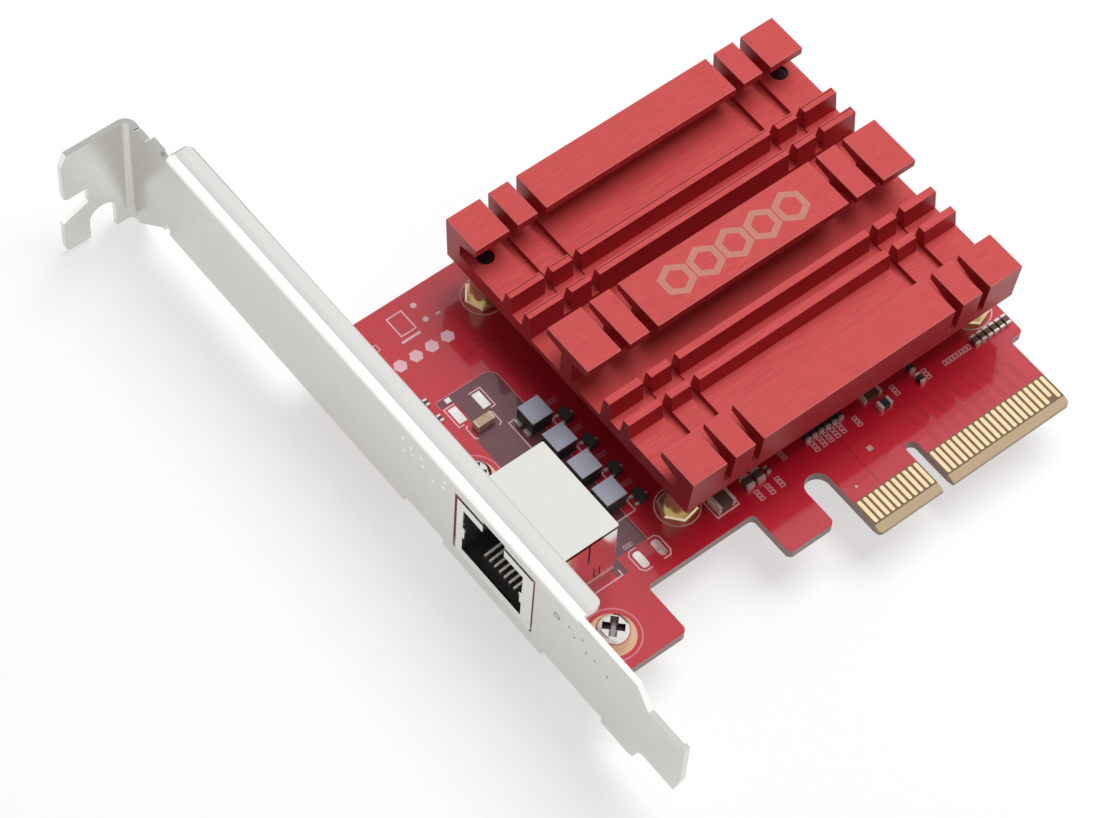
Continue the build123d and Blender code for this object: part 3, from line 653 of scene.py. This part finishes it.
FINISHES = {
    "pcb": MaskFinish("solder_mask", srgb(190, 22, 44), srgb(182, 20, 41), 0.4, 0.05,
                      grain=Grain.COARSE, depth_um=0.6, coat=1.0, coat_roughness=0.07,
                      tone_contrast=1.0, edge=srgb(196, 164, 158),
                      bevel=srgb(203, 179, 145), bed=srgb(112, 82, 48)),
    "edge_contacts": Finish("hard_gold", srgb(255, 233, 192), srgb(255, 228, 182), 0.24, 0.05, 1.0,
                            Grain.BRUSHED_Y, 0.4, tone_contrast=1.0),
    "land": Finish("soft_gold", srgb(232, 189, 157), srgb(224, 181, 149), 0.3, 0.05, 1.0,
                   Grain.FINE, 0.4, tone_contrast=1.0),
    # The bracket's level and fold colours are painted highlights, and its shade and rim colours are painted
    # shade
    "bracket": SheetFinish("bright_zinc", srgb(222, 221, 216), srgb(216, 215, 210), 0.3, 0.05,
                           1.0, Grain.FINE, 0.4, tone_contrast=1.0, level=srgb(228, 226, 223),
                           bend_highlight=srgb(255, 255, 253), shade=srgb(211, 210, 207),
                           rim=srgb(184, 183, 181)),
    # Both screws' inside colours are painted shade in their drive recesses
    "screw": DriveFinish("nickel_plate", srgb(232, 228, 224), srgb(222, 218, 214), 0.2, 0.05,
                         1.0, Grain.FINE, 0.3, tone_contrast=1.0, inside=srgb(160, 149, 150)),
    "post_screw": DriveFinish("nickel_plate_below", srgb(232, 228, 224), srgb(222, 218, 214),
                              0.2, 0.05, 1.0, Grain.FINE, 0.3, tone_contrast=1.0,
                              inside=srgb(132, 120, 122), node="heat_sink_screws", head=POST_HEAD,
                              on_top=False),
    "wire": Finish("plated_wire", srgb(255, 252, 240), srgb(250, 246, 232), 0.6, 0.05, 1.0,
                   Grain.FINE, 0.3),
    "pale_end": Finish("ceramic_end", srgb(206, 196, 172), srgb(196, 186, 162), 0.4, 0.05,
                       0.2, Grain.FINE, 0.6),
    # The heat sink's deep colour is also painted shade on its sides, and its chamfer colour is a painted
    # highlight
    "heat_sink": AnodisedFinish("red_anodised", srgb(211, 85, 84), srgb(207, 81, 81), 0.42,
                                0.08, 0.3, Grain.BRUSHED_X, 1.2, deep=srgb(172, 40, 47),
                                chamfer_highlight=srgb(220, 112, 108), brush_share=0.35),
    "brass": Finish("turned_brass", srgb(224, 206, 168), srgb(212, 194, 156), 0.28, 0.06,
                    1.0, Grain.FINE, 0.6, tone_contrast=1.0),
    "tin": Finish("tin_plate", srgb(232, 230, 224), srgb(224, 221, 214), 0.3, 0.05, 0.45,
                  Grain.FINE, 0.4, tone_contrast=1.0),
    "solder": Finish("reflowed_solder", srgb(246, 242, 238), srgb(220, 214, 209), 0.24, 0.04,
                     0.85, Grain.COARSE, 4.0),
    "shield": ShieldFinish("bright_tin_shield", srgb(232, 231, 226), srgb(228, 227, 221),
                           0.14, 0.03, 1.0, Grain.FINE, 0.2, tone_contrast=1.0),
    "insert": Finish("black_nylon", srgb(78, 73, 76), srgb(70, 65, 68), 0.42, 0.06,
                     0.0, Grain.FINE, 1.0),
    "ferrite": Finish("black_ferrite", srgb(44, 43, 45), srgb(34, 34, 36), 0.6, 0.08,
                      0.0, Grain.EVEN, 3.0),
    "plate": Finish("grey_ferrite", srgb(166, 169, 183), srgb(158, 162, 177), 0.5, 0.08,
                    0.0, Grain.EVEN, 1.5),
    "epoxy": Finish("black_epoxy", srgb(30, 30, 32), srgb(42, 42, 44), 0.5, 0.08,
                    0.0, Grain.FINE, 2.5),
    "beige": Finish("beige_ceramic", srgb(188, 166, 142), srgb(178, 157, 134), 0.4, 0.06,
                    0.0, Grain.EVEN, 1.5),
    "brown": Finish("brown_ceramic", srgb(92, 74, 62), srgb(78, 62, 52), 0.42, 0.06,
                    0.0, Grain.EVEN, 1.5),
    "laminate": Finish("green_laminate", srgb(38, 84, 52), srgb(30, 70, 44), 0.4, 0.06,
                       0.0, Grain.EVEN, 1.0),
    "lid": Finish("nickel_lid", srgb(200, 200, 198), srgb(184, 184, 182), 0.36, 0.06,
                  1.0, Grain.BRUSHED_X, 0.6),
    "pad": Finish("thermal_gum", srgb(150, 160, 176), srgb(136, 146, 162), 0.8, 0.06,
                  0.0, Grain.EVEN, 6.0),
    "print": Finish("white_print", srgb(228, 186, 192), srgb(220, 174, 182), 0.55, 0.06,
                    0.0, Grain.FINE, 0.6),
    "faint": Finish("faint_print", srgb(214, 128, 138), srgb(206, 120, 130), 0.55, 0.06,
                    0.0, Grain.FINE, 0.6),
    "bare": Finish("mask_over_laminate", srgb(96, 46, 56), srgb(90, 42, 52), 0.4, 0.05,
                   0.0, Grain.COARSE, 0.6, 1.0, 0.07),
    "light": Finish("mask_without_copper", srgb(192, 42, 58), srgb(186, 38, 55), 0.4, 0.05,
                    0.0, Grain.COARSE, 0.6, 1.0, 0.07),
    "trace": Finish("covered_trace", srgb(162, 18, 38), srgb(156, 16, 36), 0.4, 0.05,
                    0.0, Grain.COARSE, 0.6, 1.0, 0.07),
    "etch": Finish("bare_etched_metal", srgb(202, 136, 118), srgb(196, 130, 112), 0.45,
                   0.06, 0.3, Grain.BRUSHED_X, 0.8, tone_contrast=1.0),
    # The stamped marks are the bracket's plating painted darker and lighter: painted shade on the dots, a
    # painted highlight on the ticks
    "stamp": Finish("stamped_recess_shade", srgb(150, 148, 140), srgb(140, 138, 131), 0.4, 0.06,
                    1.0, Grain.FINE, 0.6),
    "shine": Finish("raised_stamp_highlight", srgb(255, 255, 252), srgb(250, 250, 246), 0.3, 0.06,
                    1.0, Grain.FINE, 0.4),
}

NODE_FINISH = {
    "pcb": "pcb", "edge_contacts_front": "edge_contacts", "edge_contacts_back": "edge_contacts",
    "bracket": "bracket", "screw_lands": "land", "solder_pads": "solder",
    "bracket_screws": "screw", "heat_sink": "heat_sink", "standoffs": "brass",
    "heat_sink_screws": "post_screw", "controller_balls": "tin", "controller_substrate": "laminate",
    "controller_lid": "lid", "thermal_pad": "pad", "jack_shield": "shield", "jack_insert": "insert",
    "jack_contacts": "wire", "transformer_cores": "ferrite", "transformer_plates": "plate",
    "transformer_terminals": "tin", "surge_diodes": "epoxy", "surge_diode_leads": "tin",
    "bulk_capacitor": "beige", "bulk_capacitor_ends": "pale_end", "filter_inductor": "brown",
    "filter_inductor_ends": "tin", "chip_capacitors": "brown", "chip_capacitor_ends": "tin",
    "chip_resistors": "epoxy", "chip_resistor_ends": "tin", "crystal_can": "lid",
    "flash_memory": "epoxy", "flash_memory_leads": "tin", "power_inductors": "ferrite",
    "power_inductor_leads": "tin", "regulators": "epoxy", "regulator_leads": "tin",
}


@dataclass
class Wardrobe:
    """The materials of all finishes, made when they are first asked for."""

    effects: Effects = field(default_factory=Effects)
    made: dict[str, bpy.types.Material] = field(default_factory=dict)

    def get(self, name: str) -> bpy.types.Material:
        """Finds a finish's material, and makes it first where that wasn't done yet.

        Args:
            name: The finish's name in the table.

        Returns:
            The material.
        """
        if name not in self.made:
            self.made[name] = FINISHES[name].build(self.effects)
        return self.made[name]

    def dress_nodes(self) -> None:
        """Puts each CAD node's finish on its material slots."""
        for node, finish in NODE_FINISH.items():
            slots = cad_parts[node].data.materials
            if not slots:
                slots.append(self.get(finish))
            for n in range(len(slots)):
                slots[n] = self.get(finish)
            LOG.info("node %s wears %s", node, finish)


@dataclass
class Figure:
    """Flat raised figures, such as print, gathered into one thin mesh, sizes in millimetres."""

    name: str
    finish: str
    slot: str
    low: float
    thick: float
    mesh: bmesh.types.BMesh = field(default_factory=bmesh.new)
    place: Matrix = field(default_factory=Matrix)

    def corner(self, x: float, y: float, level: float) -> bmesh.types.BMVert:
        """Adds one corner at a height above the figure's own plane."""
        return self.mesh.verts.new(self.place @ Vector((x, y, self.low + level)) * MM)

    def prism(self, outline: list[Point]) -> None:
        """Adds a prism.

        Args:
            outline: Its corners, which run counter-clockwise.
        """
        under = [self.corner(x, y, 0.0) for x, y in outline]
        over = [self.corner(x, y, self.thick) for x, y in outline]
        self.mesh.faces.new(over)
        self.mesh.faces.new(under[::-1])
        for n in range(len(outline)):
            after = (n + 1) % len(outline)
            self.mesh.faces.new((under[n], under[after], over[after], over[n]))

    def bar(self, x0: float, x1: float, y0: float, y1: float) -> None:
        """Adds a rectangle between two x and two y values."""
        self.prism([(x0, y0), (x1, y0), (x1, y1), (x0, y1)])

    def band(self, inner: list[Point], outer: list[Point], closed: bool) -> None:
        """Adds the strip between two lines of as many points, such as a ring's two edges.

        Args:
            inner: The points of one line.
            outer: The points of the other.
            closed: Whether the last points join the first.
        """
        lines = [[self.corner(x, y, level) for x, y in line]
                 for line in (inner, outer) for level in (0.0, self.thick)]
        in_low, in_high, out_low, out_high = lines
        count = len(inner)
        for n in range(count if closed else count - 1):
            after = (n + 1) % count
            walls = ((in_high, out_high), (out_low, in_low), (out_high, out_low), (in_low, in_high))
            for first, second in walls:
                self.mesh.faces.new((first[n], second[n], second[after], first[after]))
        if not closed:
            self.mesh.faces.new((in_low[0], out_low[0], out_high[0], in_high[0]))
            self.mesh.faces.new((in_high[-1], out_high[-1], out_low[-1], in_low[-1]))

    def line(self, points: list[Point], width: float, closed: bool = False) -> None:
        """Adds a line of even width with mitred corners.

        Args:
            points: The middle of the line, from end to end.
            width: The line's width.
            closed: Whether the last point joins the first.
        """
        inner, outer = [], []
        count = len(points)
        for n, (x, y) in enumerate(points):
            before = points[n - 1] if n or closed else points[0]
            after = points[(n + 1) % count] if n < count - 1 or closed else points[-1]
            turns = []
            for start, end in ((before, (x, y)), ((x, y), after)):
                run = Vector((end[0] - start[0], end[1] - start[1]))
                if run.length > 0:
                    turns.append(Vector((-run.y, run.x)).normalized())
            aside = sum(turns, Vector((0.0, 0.0)))
            aside /= max(aside.dot(turns[0]), SHARPEST_MITRE)
            inner.append((x + aside.x * width / 2, y + aside.y * width / 2))
            outer.append((x - aside.x * width / 2, y - aside.y * width / 2))
        self.band(inner, outer, closed)

    def ring(self, centre: Point, radius: float, width: float) -> None:
        """Adds a ring whose line of this width runs along this radius."""
        inner, outer = (circle(centre, radius + side * width / 2, RING_SIDES) for side in (-1, 1))
        self.band(inner, outer, True)

    def disc(self, centre: Point, radius: float, sides: int = 16) -> None:
        """Adds a disc, or a regular polygon when it has few sides."""
        self.prism(circle(centre, radius, sides))

    def build(self, wardrobe: Wardrobe) -> bpy.types.Object:
        """Turns the gathered figures into a piece that rides on the card.

        Args:
            wardrobe: Where the finish comes from.

        Returns:
            The new piece.
        """
        bmesh.ops.recalc_face_normals(self.mesh, faces=self.mesh.faces)
        data = bpy.data.meshes.new(self.name)
        self.mesh.to_mesh(data)
        self.mesh.free()
        data.materials.append(wardrobe.get(self.finish))
        piece = bpy.data.objects.new(self.name, data)
        bpy.context.scene.collection.objects.link(piece)
        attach(piece, ROOT)
        LOG.info("piece %s built with %d faces", self.name, len(data.polygons))
        return piece


def label_row(figure: Figure, start: Point, step: Point, count: int, size: Point, width: float) -> None:
    """Adds a generic label: a row of small open boxes.

    Args:
        figure: The figure that gets the boxes.
        start: The middle of the first box.
        step: From one box to the next.
        count: How many boxes there are.
        size: Half the boxes' size in x and y.
        width: The line's width.
    """
    half_x, half_y = size
    for n in range(count):
        x, y = start[0] + step[0] * n, start[1] + step[1] * n
        corners = [(x - half_x, y - half_y), (x + half_x, y - half_y), (x + half_x, y + half_y),
                   (x - half_x, y + half_y)]
        figure.line(corners, width, True)


@dataclass
class BoardPrint:
    """Print, bare zones, covered traces and vias on the board's component side."""

    wardrobe: Wardrobe
    line: float = 0.2
    rim_line: float = 0.12
    trace_line: float = 0.22
    pair_line: float = 0.13
    screw_line: float = 0.25
    zone_low: float = 0.004
    zone_thick: float = 0.008
    rim_rise: float = 0.004  # how much higher than the zones their rim and the traces reach
    via_rise: float = 0.006
    ring_rise: float = 0.01
    print_low: float = 0.006
    print_thick: float = 0.022
    post_ring: float = 3.15
    screw_ring: float = 3.95
    pads_middle: float = -38.85
    pair_start: float = 3.3
    pair_step: float = 2.0
    pair_count: int = 9
    pair_gap: float = 0.45
    pair_jog: float = 0.7  # how far a pair of traces moves aside
    pair_fall: float = 0.15  # how much sooner each pair ends than the one before
    via_radius: float = 0.15
    via_count: int = 9
    via_seed: int = 7
    zone_corner: Point = (-39.3, 49.9)
    zone_round: float = 1.7
    line_box: tuple[float, ...] = (-41.25, -36.2, 22.35, 43.2)
    upright_labels: tuple[Point, ...] = (
        (-21.44, 13.5), (-19.67, 13.4), (-17.9, 13.5), (-15.0, 16.6), (-10.53, 14.9), (-9.2, 14.9),
        (-8.05, 14.9), (-6.9, 14.9), (-5.75, 14.95), (-3.3, 14.5), (4.05, 15.2), (9.3, 14.6))

    def build_zones(self) -> None:
        """Builds the areas without copper: grey-purple by the jack, and paler red at the edges."""
        quarter = circle(self.zone_corner, self.zone_round, 40)[:11]
        rim_run = [(-37.7, 18.1), *quarter, (-47.3, 51.6), (-47.3, 50.3)]
        bare = Figure("bare_zone", "bare", "pcb", self.zone_low, self.zone_thick)
        bare.prism([*rim_run, (-45.1, 50.3), (-45.1, 45.2), (-46.4, 43.6), (-46.4, 31.0), (-44.4, 22.0),
                    (-44.4, 18.1)])
        bare.bar(-44.6, -42.9, 15.6, 18.1)
        bare.build(self.wardrobe)
        rim = Figure("bare_zone_rim", "faint", "pcb", self.zone_low, self.zone_thick + self.rim_rise)
        rim.line(rim_run, self.rim_line)
        rim.build(self.wardrobe)
        light = Figure("light_zone", "light", "pcb", self.zone_low, self.zone_thick)
        light.prism([(-23.0, 4.9), (-17.1, 4.9), (-16.2, 5.9), (-16.2, 8.25), (-23.9, 8.25), (-23.9, 5.9)])
        light.prism([(-12.1, 5.6), (-1.05, 5.6), (-1.05, 9.2), (-1.8, 9.2), (-4.6, 7.9), (-7.6, 7.9),
                     (-8.3, 7.3), (-10.6, 7.3), (-12.1, 8.6)])
        light.prism([(1.05, 5.6), (22.05, 5.6), (22.05, 12.3), (24.5, 13.2), (24.5, 14.2), (21.0, 14.2),
                     (17.5, 9.5), (14.0, 7.8), (1.05, 7.8)])
        light.build(self.wardrobe)

    def build_traces(self) -> None:
        """Builds the covered traces: single ones, and the pairs that run up from the edge contacts."""
        trace = Figure("covered_traces", "trace", "pcb", self.zone_low, self.zone_thick + self.rim_rise)
        trace.line([(-7.0, 14.3), (-7.16, 9.15), (-7.1, 6.3)], 0.3)
        trace.line([(-33.23, 54.91), (-37.06, 55.33), (-40.2, 54.84)], self.trace_line)
        trace.line([(-34.84, 55.51), (-37.43, 56.63)], self.trace_line)
        for n in range(self.pair_count):
            for side in (0.0, self.pair_gap):
                x = self.pair_start + self.pair_step * n + side
                moved = x - self.pair_jog
                end = 13.8 - self.pair_fall * n
                trace.line([(x, 6.0), (x, 9.4), (moved, 10.1), (moved, end)], self.pair_line)
        trace.build(self.wardrobe)

    def build_print(self) -> None:
        """Builds the white print: part outlines, rings, and generic labels and marks."""
        ink = Figure("board_print", "print", "solder_pads", self.print_low, self.print_thick)
        for place in middles("heat_sink_screws", POST_HEAD, POST_HEAD):
            ink.ring(place, self.post_ring, self.line)
        x0, x1, y0, y1 = self.line_box
        ink.line([(x0 + 1.1, y1), (x0, y1), (x0, y0), (x1, y0), (x1, y1), (x1 - 1.1, y1)], self.line)
        ink.line([(-42.8, 50.05), (-40.9, 50.05), (-40.9, 46.6), (-41.7, 46.6)], self.line)
        ink.line([(-45.3, 50.05), (-47.05, 50.05), (-47.05, 46.6), (-46.2, 46.6)], self.line)
        ink.line([(-42.4, 43.7), (-41.9, 44.0), (-41.9, 45.9), (-42.4, 46.2)], self.line)
        ink.line([(-46.0, 43.7), (-46.4, 44.0), (-46.4, 45.9), (-46.0, 46.2)], self.line)
        ink.line([(-48.5, 15.62), (-43.8, 15.62), (-43.8, 16.6)], self.line)
        ink.line([(-48.5, 33.1), (-43.8, 33.1), (-43.8, 32.2)], self.line)
        for side in (-1, 1):
            near, far, turn = (self.pads_middle + side * aside for aside in (1.0, 2.6, 2.1))
            ink.line([(near, 17.85), (turn, 17.85), (far, 17.3), (far, 14.9), (turn, 14.25), (near, 14.25)],
                     self.line)
        ink.line([(-28.2, 14.75), (-24.5, 14.75), (-24.5, 17.9), (-28.2, 17.9)], self.line, True)
        self.add_marks(ink)
        ink.build(self.wardrobe)

    def add_marks(self, ink: Figure) -> None:
        """Adds the generic labels, bars and hexagons.

        Args:
            ink: The figure that gets them.
        """
        for x, y in self.upright_labels:
            label_row(ink, (x, y), (0.0, 0.62), 3, (0.34, 0.2), 0.1)
        label_row(ink, (12.5, 15.0), (0.62, 0.0), 8, (0.2, 0.36), 0.1)
        label_row(ink, (-41.0, 18.7), (0.5, 0.0), 3, (0.16, 0.26), 0.09)
        ink.disc((-10.13, 7.36), 0.2)
        ink.line([(-44.4, 62.9), (-41.9, 62.9), (-41.9, 66.3), (-44.4, 66.3)], 0.22, True)
        ink.bar(-45.0, -41.8, 61.8, 62.2)
        ink.disc((-40.0, 66.0), 0.5, 6)
        ink.disc((-40.0, 63.2), 0.5, 6)
        ink.bar(-38.4, -37.6, 62.8, 63.2)
        for n in range(4):
            ink.disc((-47.4 + 2.7 * n, 59.2), 1.05, 6)
        label_row(ink, (-54.6, 63.4), (0.9, 0.0), 8, (0.28, 0.5), 0.12)
        label_row(ink, (-54.6, 57.6), (0.9, 0.0), 6, (0.28, 0.5), 0.12)

    def build_faint(self) -> None:
        """Builds the fainter print beside the surge diodes."""
        ink = Figure("faint_print", "faint", "solder_pads", self.print_low, self.print_thick)
        for y in (42.5, 37.1, 31.8, 26.4):
            label_row(ink, (-35.0, y), (0.55, 0.0), 3, (0.18, 0.3), 0.1)
        ink.build(self.wardrobe)

    def build_rings(self) -> None:
        """Builds the paler rings that free the bracket screws from the copper."""
        pale = Figure("screw_rings", "faint", "pcb", self.zone_low, self.zone_thick + self.ring_rise)
        for place in middles("bracket_screws", SCREW_HEAD, SCREW_HEAD):
            pale.ring(place, self.screw_ring, self.screw_line)
        pale.build(self.wardrobe)

    def build_vias(self) -> None:
        """Builds the covered vias as small dark discs, some of them scattered above the zone by the jack."""
        dark = Figure("covered_vias", "trace", "pcb", self.zone_low, self.zone_thick + self.via_rise)
        spots = [(-18.5, 5.7), (-21.2, 5.7), (-13.9, 14.1), (-2.9, 11.2), (3.4, 12.6), (9.8, 11.4)]
        chance = random.Random(self.via_seed)
        for _ in range(self.via_count):
            spots.append((chance.uniform(-55.0, -37.5), chance.uniform(53.5, 56.5)))
        for spot in spots:
            dark.disc(spot, self.via_radius, 10)
        dark.build(self.wardrobe)

    def build(self) -> None:
        """Builds everything that is printed or etched on the board."""
        self.build_zones()
        self.build_traces()
        self.build_rings()
        self.build_vias()
        self.build_print()
        self.build_faint()


@dataclass
class SinkMark:
    """A generic row of hexagons on the heat sink's middle bar."""

    wardrobe: Wardrobe
    thick: float = 0.015
    count: int = 5
    height: float = 5.4
    pitch: float = 5.0
    weight: float = 0.95

    def build(self) -> None:
        """Builds the mark on top of the middle bar."""
        low, high = lowest("heat_sink"), highest("heat_sink")
        middle = Vector(((low.x + high.x) / 2, (low.y + high.y) / 2))
        mark = Figure("sink_mark", "etch", "heat_sink", high.z, self.thick)
        size = (self.height - self.weight) / 2
        for n in range(self.count):
            x = middle.x + (n - (self.count - 1) / 2) * self.pitch
            mark.line(circle((x, middle.y), size, 6, 30), self.weight, True)
        mark.build(self.wardrobe)


@dataclass
class BracketMarks:
    """Small generic stamped ticks and dots on the bracket's outer face, as lighter and darker copies of its
    plating: the ticks a painted highlight, the dots painted shade.
    """

    wardrobe: Wardrobe
    thick: float = 0.02
    tick_half: Point = (0.3, 0.22)
    dot_radius: float = 0.2
    ring_radius: float = 0.5
    ring_width: float = 0.2
    tick_places: tuple[Point, ...] = (
        (43.91, 12.26), (43.65, 9.62), (42.25, 11.88), (41.84, 10.73), (39.98, 12.28),
        (39.56, 10.83), (37.44, 10.05), (35.21, 11.21), (35.08, 12.73))
    dot_places: tuple[Point, ...] = (
        (9.06, 11.59), (7.93, 10.49), (6.4, 11.97), (5.47, 10.08), (3.77, 10.32), (1.23, 9.79))
    ring_place: Point = (11.53, 11.02)

    def build(self) -> None:
        """Builds the marks above and below the jack window."""
        turn = Matrix(((0, 0, -1, BRACKET_FACE), (-1, 0, 0, 0), (0, 1, 0, 0), (0, 0, 0, 1)))
        # Painted highlight: the ticks are whiter plating
        bright = Figure("bracket_ticks", "shine", "bracket", 0.0, self.thick, place=turn)
        half_y, half_z = self.tick_half
        for y, z in self.tick_places:
            bright.bar(-y - half_y, -y + half_y, z - half_z, z + half_z)
        bright.build(self.wardrobe)
        # Painted shade: the dots are darker plating
        dark = Figure("bracket_dots", "stamp", "bracket", 0.0, self.thick, place=turn)
        for y, z in self.dot_places:
            dark.disc((-y, z), self.dot_radius, 10)
        dark.ring((-self.ring_place[0], self.ring_place[1]), self.ring_radius, self.ring_width)
        dark.build(self.wardrobe)


@dataclass
class Studio:
    """Pale floor, one soft lamp, white surroundings and the camera at the photo's viewing angle."""

    image_width: int = 1109
    sensor_mm: float = 36.0
    focal_px: float = 3984.03
    eye_mm: tuple[float, ...] = (-230.066, -170.155, 454.787)
    right: tuple[float, ...] = (0.78163436, -0.62202052, 0.04624066)
    down: tuple[float, ...] = (-0.50749763, -0.67731902, -0.53262097)
    forward: tuple[float, ...] = (0.36262085, 0.39284783, -0.84508976)
    floor_gap: float = 0.05
    floor_size: float = 1.6
    floor_shade: float = 0.42
    floor_glow: float = 0.6
    floor_roughness: float = 0.9
    ambient: float = 0.24
    lamp_place: tuple[float, ...] = (0.32, 0.1, 0.75)
    lamp_aim: tuple[float, ...] = (-0.01, 0.04, 0.0)
    lamp_size: float = 0.6
    lamp_watts: float = 6.3
    clip_start: float = 0.01

    def build_camera(self) -> None:
        """Places the camera as it was fitted to the photo."""
        data = bpy.data.cameras.new("camera")
        data.sensor_width = self.sensor_mm
        data.lens = self.focal_px / self.image_width * self.sensor_mm
        data.clip_start = self.clip_start
        camera = bpy.data.objects.new("camera", data)
        axes = Matrix((self.right, tuple(-v for v in self.down), tuple(-v for v in self.forward)))
        camera.matrix_world = Matrix.Translation(Vector(self.eye_mm) * MM) @ axes.transposed().to_4x4()
        bpy.context.scene.collection.objects.link(camera)
        bpy.context.scene.camera = camera

    def seen(self, sheet: NodeSheet) -> bpy.types.NodeSocket:
        """Tells the rays that come from the camera, a mirror or a glass from the others.

        Args:
            sheet: The sheet that gets the nodes.

        Returns:
            A mask that is 1 for those rays.
        """
        rays = sheet.add("ShaderNodeLightPath")
        glassy = sheet.maths("MAXIMUM", rays.outputs["Is Glossy Ray"], rays.outputs["Is Transmission Ray"])
        return sheet.maths("MAXIMUM", rays.outputs["Is Camera Ray"], glassy)

    def build_floor(self) -> None:
        """Lays the pale floor just under the card."""
        level = CAD_BOX[0].z - self.floor_gap * MM
        half = self.floor_size / 2
        data = bpy.data.meshes.new("floor")
        corners = [(-half, -half, level), (half, -half, level), (half, half, level), (-half, half, level)]
        data.from_pydata(corners, [], [(0, 1, 2, 3)])
        material = bpy.data.materials.new("pale_floor")
        material.use_nodes = True
        sheet = NodeSheet(material.node_tree)
        shader = next(n for n in sheet.tree.nodes if n.type == "BSDF_PRINCIPLED")
        shader.inputs["Base Color"].default_value = (*[self.floor_shade] * 3, 1.0)
        shader.inputs["Roughness"].default_value = self.floor_roughness
        shader.inputs["Emission Color"].default_value = (1.0, 1.0, 1.0, 1.0)
        glow = sheet.maths("MULTIPLY", self.seen(sheet), self.floor_glow)
        sheet.put(shader.inputs["Emission Strength"], glow)
        data.materials.append(material)
        floor = bpy.data.objects.new("floor", data)
        bpy.context.scene.collection.objects.link(floor)

    def build_world(self) -> None:
        """Makes the surroundings white to the eye and in reflections, and dimmer as light."""
        world = bpy.data.worlds.new("surroundings")
        bpy.context.scene.world = world
        world.use_nodes = True
        sheet = NodeSheet(world.node_tree)
        back = next(n for n in sheet.tree.nodes if n.type == "BACKGROUND")
        back.inputs["Color"].default_value = (1.0, 1.0, 1.0, 1.0)
        sheet.put(back.inputs["Strength"], sheet.maths("MAXIMUM", self.seen(sheet), self.ambient))

    def build_lamp(self) -> None:
        """Hangs one soft square lamp that faces the card and stays out of its mirrors."""
        data = bpy.data.lights.new("key_lamp", "AREA")
        data.shape = "SQUARE"
        data.size = self.lamp_size
        data.energy = self.lamp_watts
        lamp = bpy.data.objects.new("key_lamp", data)
        lamp.location = self.lamp_place
        aim = Vector(self.lamp_aim) - lamp.location
        lamp.rotation_euler = aim.to_track_quat("-Z", "Y").to_euler()
        lamp.visible_glossy = False
        bpy.context.scene.collection.objects.link(lamp)

    def build(self) -> None:
        """Sets up the camera, floor, surroundings and lamp."""
        self.build_camera()
        self.build_floor()
        self.build_world()
        self.build_lamp()
        bpy.context.scene.view_settings.view_transform = "Standard"


def main() -> None:
    """Builds the studio and dresses the card, piece by piece."""
    logging.basicConfig(level=logging.INFO, format="%(message)s")
    Studio().build()
    wardrobe = Wardrobe()
    wardrobe.dress_nodes()
    BoardPrint(wardrobe).build()
    SinkMark(wardrobe).build()
    BracketMarks(wardrobe).build()


if __name__ == "__main__":
    main()
